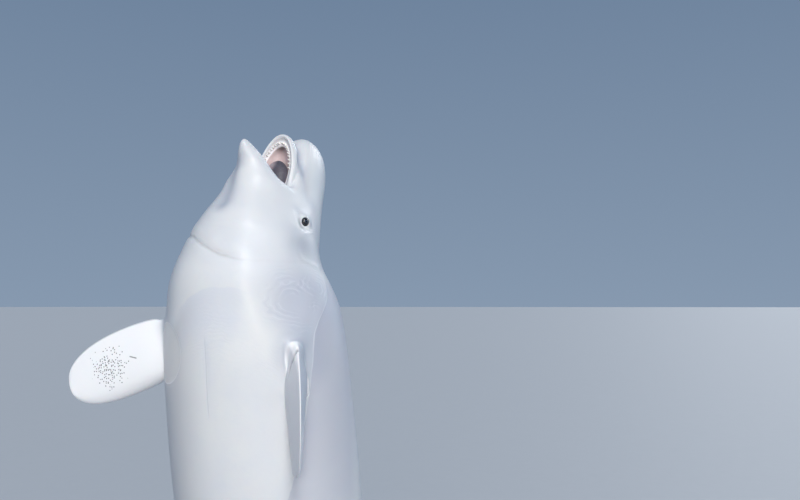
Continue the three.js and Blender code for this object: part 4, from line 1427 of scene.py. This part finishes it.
    def drape(self):
        self.neck_crease()
        self.throat()
        for side in (1, -1):
            mirrored = self.places * (side, 1, 1)
            self.head_side(mirrored)
            self.flank(mirrored)
        self.mark("painted_shade", np.clip(self.painted_shade, 0, 0.95) * ((np.abs(self.part) < 0.5) | (self.z > HEAD_HEIGHT)))
        self.patch_and_belly()
        self.left_flipper()
        write_places(self.obj, self.places + self.normals * self.offset[:, None])
        self.mark_mouth()
        self.mark_small_parts()


class BuildSkin(bpy.types.Operator):
    """Builds the whole skin as one surface: body, neck, head, inside of the mouth, flippers and flukes"""

    bl_idname = "beluga.skin"
    bl_label = "Skin"

    def execute(self, context):
        settings = context.scene.beluga_whale
        obj = cage()
        grow_flippers(obj)
        grow_flukes(obj)
        shape_eyes(obj)
        shape_ears(obj)
        shape_blowhole(obj)
        smooth_by_subdivision(obj, 2)
        Folds(obj, settings).drape()
        dress(obj, skin_finish(settings))
        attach(obj, "root")
        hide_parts("head", "lower_jaw", "neck", "chest", "belly", "tail_stock",
                    "left_flipper", "right_flipper", "left_fluke", "right_fluke")
        return {"FINISHED"}


# Eyes, teeth and tongue


class BuildEyes(bpy.types.Operator):
    """Builds both eyeballs, with a cornea that stands out a little"""

    bl_idname = "beluga.eyes"
    bl_label = "Eyes"

    def execute(self, context):
        material = eye_finish()
        for side, hand in ((1, "left"), (-1, "right")):
            middle, out, _, _ = eye_axes(side)
            deselect_all()
            bpy.ops.mesh.primitive_uv_sphere_add(
                segments=40, ring_count=24, radius=EYE_RADIUS * MM, location=in_frame(middle))
            obj = named(f"{hand}_eyeball")
            place_origin(obj)
            places, _ = mesh_arrays(obj)
            way = (places - middle) / EYE_RADIUS
            facing = way @ out
            swell = 1 + 0.05 * fade(facing, 0.78, 0.96)
            write_places(obj, middle + way * EYE_RADIUS * swell[:, None])
            from_pupil = np.arccos(np.clip(facing, -1, 1))
            write_attribute(obj, "iris", np.clip(from_pupil / math.radians(IRIS_REACH), 0, 1))
            dress(obj, material)
            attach(obj, "root")
            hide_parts(f"{hand}_eye")
        return {"FINISHED"}


class BuildTeeth(bpy.types.Operator):
    """Builds the peg teeth round the gums, each a copy of one modelled peg"""

    bl_idname = "beluga.teeth"
    bl_label = "Teeth"

    def execute(self, context):
        tall = context.scene.beluga_whale.tooth_height
        peg = self.peg()
        pegs = []
        for i, (angle, rise) in enumerate(self.spots()):
            copy = peg.copy()
            copy.data = peg.data.copy()
            bpy.context.collection.objects.link(copy)
            gum = Vector(in_frame(skin_places(GUM, math.radians(angle))[0]))
            spot = gum + rise * (tall - TOOTH_LENGTH / 2)
            turn = rise.to_track_quat("Z", "Y").to_matrix().to_4x4() @ Matrix.Rotation(i * 1.7, 4, "Z")
            size = 1 + 0.12 * math.sin(i * 2.3)
            copy.matrix_world = Matrix.Translation(spot) @ turn @ Matrix.Diagonal((size, size, 1, 1))
            pegs.append(copy)
        bpy.data.objects.remove(peg)
        teeth = joined("teeth", pegs)
        dress(teeth, tooth_finish())
        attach(teeth, "root")
        return {"FINISHED"}

    def peg(self):
        """One tooth: a peg with a narrowed, rounded crown."""
        deselect_all()
        bpy.ops.mesh.primitive_cylinder_add(
            vertices=10, radius=TOOTH_RADIUS, depth=TOOTH_LENGTH, location=(0, 0, 0))
        peg = named("tooth")
        edit_faces(peg, lambda face: face.normal.z > 0.9)
        bpy.ops.transform.resize(value=(0.72, 0.72, 1))
        for rise in (0.0012, 0.0004):
            bpy.ops.mesh.inset(thickness=0.0012)
            bpy.ops.transform.translate(value=(0, 0, rise))
        bpy.ops.object.mode_set(mode="OBJECT")
        smooth_by_subdivision(peg, 1)
        return peg

    def spots(self):
        """Where each tooth stands round the gums, in degrees, and the way it rises."""
        lean, gape = math.radians(HEAD_LEAN), math.radians(GAPE)
        upper_rise = Vector((0, -math.cos(lean), math.sin(lean)))
        lower_rise = Vector((0, math.cos(lean - gape), -math.sin(lean - gape)))
        for side in (1, -1):
            for (count, first, last), rise in ((UPPER_TEETH, upper_rise), (LOWER_TEETH, lower_rise)):
                for i in range(count):
                    yield side * (first + (last - first) * (i + 0.5) / count), rise


class BuildTongue(bpy.types.Operator):
    """Builds the thick tongue with a groove down its middle"""

    bl_idname = "beluga.tongue"
    bl_label = "Tongue"

    def execute(self, context):
        deselect_all()
        bpy.ops.mesh.primitive_uv_sphere_add(segments=28, ring_count=18, radius=1, location=(0, 0, 0))
        obj = named("tongue_flesh")
        ball = read_vectors(obj.data.vertices, "co")
        tilt = -math.radians(TONGUE_LEAN)
        x, thick, along = (ball * TONGUE_HALF).T
        thick -= TONGUE_GROOVE * bell(x, 9) * fade(ball[:, 1], -0.2, 0.7)
        y = thick * math.cos(tilt) - along * math.sin(tilt)
        z = thick * math.sin(tilt) + along * math.cos(tilt)
        write_places(obj, np.column_stack([x, y, z]) + TONGUE_AT)
        smooth_by_subdivision(obj, 1)
        dress(obj, tongue_finish())
        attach(obj, "root")
        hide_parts("tongue")
        return {"FINISHED"}


# The stand, in metres

BASE_CORNER = 0.22  # radius of the plate's corners
BASE_MARGIN = 0.05  # from the plate's edge to its groove
GROOVE_WIDTH = 0.008
GROOVE_DEPTH = 0.004
FOOT_RADIUS = 0.12
FOOT_HEIGHT = 0.024
FOOT_CHAMFER = 0.004
FOOT_RIM = 0.003  # how far the foot's face rises over its chamfer
FOOT_FACE = 0.062  # from the chamfer in to the collar
COLLAR_HEIGHT = 0.012
COLLAR_TAPER = 0.84
HEAD_BELOW = 0.24  # from the top of the solid rod down to where its head starts to widen
HEAD_FLARE = 0.03
HEAD_WIDENING = 1.72
HEAD_RING = 0.022  # from ring to ring of the head's face, which follows the skin
HEAD_GAP = 0.011  # between the steel and the skin
PAD_RADIUS = 0.0775
PAD_GAP = 0.0018
PAD_THICKNESS = 0.008
BOLT_CIRCLE = 0.088
BOLT_PARTS = ((24, 0.0165, 0.0002, 0.0028), (6, 0.0115, 0.003, 0.009))  # sides, radius, rise and thickness
MODELLING_HEIGHT = 0.2  # where a pad is drawn before it is moved up to the skin


class BuildStand(bpy.types.Operator):
    """Builds the painted base, and the steel rods with their foot plates, bolts and padded heads"""

    bl_idname = "beluga.stand"
    bl_label = "Display stand"

    def execute(self, context):
        settings = context.scene.beluga_stand
        self.base(settings)
        steel, rubber = steel_finish(), rubber_finish()
        for name in ("front", "rear"):
            low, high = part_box(f"stand_rod_{name}")
            y = (low.y + high.y) / 2
            self.rod(name, y, low.z, high.z, steel)
            self.pad(name, y, rubber)
            self.bolts(name, y, low.z + FOOT_HEIGHT + FOOT_RIM, settings.bolts, steel)
        return {"FINISHED"}

    def base(self, settings):
        low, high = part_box("stand_base")
        deselect_all()
        bpy.ops.mesh.primitive_cube_add(size=1, location=(low + high) / 2, scale=high - low)
        obj = named("stand_base_plate")
        place_origin(obj)
        edit_edges(obj, lambda a, b: abs(a.z - b.z) > 0.01)
        bpy.ops.mesh.bevel(offset=BASE_CORNER, segments=12, affect="EDGES")
        edit_edges(obj, lambda a, b: abs(a.z - high.z) < 1e-5 and abs(b.z - high.z) < 1e-5)
        bpy.ops.mesh.bevel(offset=settings.base_bevel, segments=4, affect="EDGES")
        bpy.ops.object.mode_set(mode="OBJECT")
        edit_faces(obj, lambda face: face.normal.z > 0.999)
        bpy.ops.mesh.inset(thickness=BASE_MARGIN)
        for rise in (-GROOVE_DEPTH, GROOVE_DEPTH):
            bpy.ops.mesh.inset(thickness=GROOVE_WIDTH)
            bpy.ops.transform.translate(value=(0, 0, rise))
        bpy.ops.object.mode_set(mode="OBJECT")
        dress(obj, paint_finish(settings), 35)
        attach(obj, "root")
        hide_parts("stand_base")

    def rod(self, name, y, foot, top, steel):
        """A rod with its foot plate, its collar and a head that follows the whale's underside."""
        deselect_all()
        bpy.ops.mesh.primitive_cylinder_add(
            vertices=48, radius=FOOT_RADIUS, depth=FOOT_HEIGHT, location=(0, y, foot + FOOT_HEIGHT / 2))
        obj = named(f"stand_{name}_post")
        place_origin(obj)
        edit_faces(obj, lambda face: face.normal.z > 0.9)
        bpy.ops.mesh.inset(thickness=FOOT_CHAMFER)
        bpy.ops.transform.translate(value=(0, 0, FOOT_RIM))
        bpy.ops.mesh.inset(thickness=FOOT_FACE)
        self.extrude(COLLAR_HEIGHT)
        bpy.ops.transform.resize(value=(COLLAR_TAPER, COLLAR_TAPER, 1), center_override=(0, y, 0))
        head = top - HEAD_BELOW
        self.extrude(head - foot - FOOT_HEIGHT - FOOT_RIM - COLLAR_HEIGHT)
        self.extrude(HEAD_FLARE)
        bpy.ops.transform.resize(value=(HEAD_WIDENING, HEAD_WIDENING, 1), center_override=(0, y, 0))
        self.extrude(HEAD_FLARE)
        for _ in range(3):
            bpy.ops.mesh.inset(thickness=HEAD_RING)
        self.under_skin(obj, head + 0.05, HEAD_GAP)
        bevel_edges(obj, 0.002)
        dress(obj, steel, 35)
        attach(obj, "root")
        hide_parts(f"stand_rod_{name}")

    def extrude(self, rise):
        bpy.ops.mesh.extrude_region_move(TRANSFORM_OT_translate={"value": (0, 0, rise)})

    def under_skin(self, obj, above, gap):
        """Moves the vertices that are higher than above to a gap under the whale's skin."""
        skin = bpy.data.objects["beluga_skin"]
        bpy.ops.object.mode_set(mode="OBJECT")
        for vert in obj.data.vertices:
            if vert.co.z > above:
                start = Vector((vert.co.x, vert.co.y, 0.1))
                found, place, normal, _ = skin.ray_cast(start, Vector((0, 0, 1)))
                if not found:
                    raise RuntimeError(f"{obj.name} does not lie under the whale")
                vert.co.z = place.z - gap / max(abs(normal.z), 0.35)
        obj.data.update()

    def pad(self, name, y, rubber):
        """A rubber pad between the rod's head and the skin."""
        deselect_all()
        bpy.ops.mesh.primitive_circle_add(
            vertices=48, radius=PAD_RADIUS, fill_type="NGON", location=(0, y, MODELLING_HEIGHT))
        obj = named(f"stand_{name}_pad")
        place_origin(obj)
        edit_faces(obj, lambda face: True)
        for _ in range(3):
            bpy.ops.mesh.inset(thickness=HEAD_RING)
        self.under_skin(obj, MODELLING_HEIGHT / 2, PAD_GAP)
        edit_faces(obj, lambda face: True)
        self.extrude(-PAD_THICKNESS)
        bpy.ops.mesh.select_all(action="SELECT")
        bpy.ops.mesh.normals_make_consistent(inside=False)
        bpy.ops.object.mode_set(mode="OBJECT")
        dress(obj, rubber, 40)
        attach(obj, "root")

    def bolts(self, name, y, height, count, steel):
        """Hexagon bolts with washers round the foot plate."""
        deselect_all()
        pieces = []
        for i in range(count):
            turn = 2 * math.pi * (i + 0.5) / count
            across, along = BOLT_CIRCLE * math.cos(turn), y + BOLT_CIRCLE * math.sin(turn)
            for sides, radius, low, tall in BOLT_PARTS:
                at = (across, along, height + low + tall / 2)
                bpy.ops.mesh.primitive_cylinder_add(vertices=sides, radius=radius, depth=tall, location=at)
                pieces.append(bpy.context.object)
        obj = joined(f"stand_{name}_bolts", pieces)
        bevel_edges(obj, 0.0008)
        dress(obj, steel, 35)
        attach(obj, "root")


# The stage

CAMERA_AT = (2.032, -3.055, 3.440)
CAMERA_TURN = (94.1, 0, 27.59)  # degrees
CAMERA_LENS, SENSOR_WIDTH = 35.0, 36.0  # in millimetres
FLOOR_SIZE = 4000
FLOOR_GAP = 0.0005  # between the floor and the base


class BuildStage(bpy.types.Operator):
    """Builds the floor, the backdrop, the lights and the camera"""

    bl_idname = "beluga.stage"
    bl_label = "Stage"

    def execute(self, context):
        settings = context.scene.beluga_stage
        deselect_all()
        bpy.ops.mesh.primitive_plane_add(size=FLOOR_SIZE, location=(0, 0, -FLOOR_GAP))
        floor = named("floor")
        place_origin(floor)
        floor.data.materials.append(floor_finish())
        self.air(context.scene, settings)
        for name, turn, height, power, colour in (
                ("key", 40, 45, settings.key_power, (1.0, 0.99, 0.97)),
                ("front", 30, 10, settings.front_power, (1.0, 0.93, 0.86)),
                ("rim", 160, 12, settings.rim_power, (0.55, 0.8, 1.0)),
                ("back", 178, 30, settings.back_power, (0.95, 0.97, 1.0))):
            self.light(name, turn, height, power, colour)
        bpy.ops.object.camera_add(location=CAMERA_AT, rotation=[math.radians(v) for v in CAMERA_TURN])
        camera = bpy.context.object
        camera.name = "camera"
        camera.data.lens, camera.data.sensor_width = CAMERA_LENS, SENSOR_WIDTH
        camera.data.clip_end = FLOOR_SIZE + 1000
        context.scene.camera = camera
        context.scene.view_settings.view_transform = "Standard"
        return {"FINISHED"}

    def air(self, scene, settings):
        """Soft light from all round, paler near the floor."""
        world = bpy.data.worlds.new("studio_air")
        world.use_nodes = True
        tree = world.node_tree
        way = tree.nodes.new("ShaderNodeTexCoord")
        height = tree.nodes.new("ShaderNodeSeparateXYZ")
        ramp = tree.nodes.new("ShaderNodeValToRGB")
        tree.links.new(way.outputs["Generated"], height.inputs[0])
        tree.links.new(height.outputs["Z"], ramp.inputs[0])
        tree.links.new(ramp.outputs[0], tree.nodes["Background"].inputs["Color"])
        for element, colour in zip(ramp.color_ramp.elements, (settings.horizon, settings.zenith)):
            element.color = (*colour, 1)
        ramp.color_ramp.elements[1].position = 0.7
        tree.nodes["Background"].inputs["Strength"].default_value = settings.air_strength
        scene.world = world

    def light(self, name, turn, height, power, colour):
        """A broad soft light, turn degrees from the belly's side to the left, and height over the level."""
        bpy.ops.object.light_add(type="SUN", location=(0, 0, 8))
        lamp = bpy.context.object
        lamp.name = name
        lamp.data.energy, lamp.data.angle, lamp.data.color = power, math.radians(20), colour
        turn, height = math.radians(turn), math.radians(height)
        level = math.cos(height)
        way = Vector((math.sin(turn) * level, -math.cos(turn) * level, math.sin(height)))
        lamp.rotation_euler = way.to_track_quat("Z", "Y").to_euler()


# Panel and registration


OPERATORS = (BuildSkin, BuildEyes, BuildTeeth, BuildTongue, BuildStand, BuildStage)


class BelugaPanel(bpy.types.Panel):
    """Lists what builds the whale, with its sizes and colours"""

    bl_idname = "VIEW3D_PT_beluga"
    bl_label = "Beluga whale"
    bl_space_type = "VIEW_3D"
    bl_region_type = "UI"
    bl_category = "Beluga"

    def draw(self, context):
        for group in (context.scene.beluga_whale, context.scene.beluga_stand, context.scene.beluga_stage):
            box = self.layout.box()
            for name in group.__annotations__:
                box.prop(group, name)
        for operator in OPERATORS:
            self.layout.operator(operator.bl_idname)


CLASSES = (WhaleSettings, StandSettings, StageSettings, *OPERATORS, BelugaPanel)


def register():
    for cls in CLASSES:
        bpy.utils.register_class(cls)
    bpy.types.Scene.beluga_whale = bpy.props.PointerProperty(type=WhaleSettings)
    bpy.types.Scene.beluga_stand = bpy.props.PointerProperty(type=StandSettings)
    bpy.types.Scene.beluga_stage = bpy.props.PointerProperty(type=StageSettings)


def unregister():
    for name in ("beluga_whale", "beluga_stand", "beluga_stage"):
        delattr(bpy.types.Scene, name)
    for cls in reversed(CLASSES):
        bpy.utils.unregister_class(cls)


def main():
    register()
    bpy.ops.beluga.skin()
    bpy.ops.beluga.eyes()
    bpy.ops.beluga.teeth()
    bpy.ops.beluga.tongue()
    bpy.ops.beluga.stand()
    bpy.ops.beluga.stage()


if __name__ == "__main__":
    main()
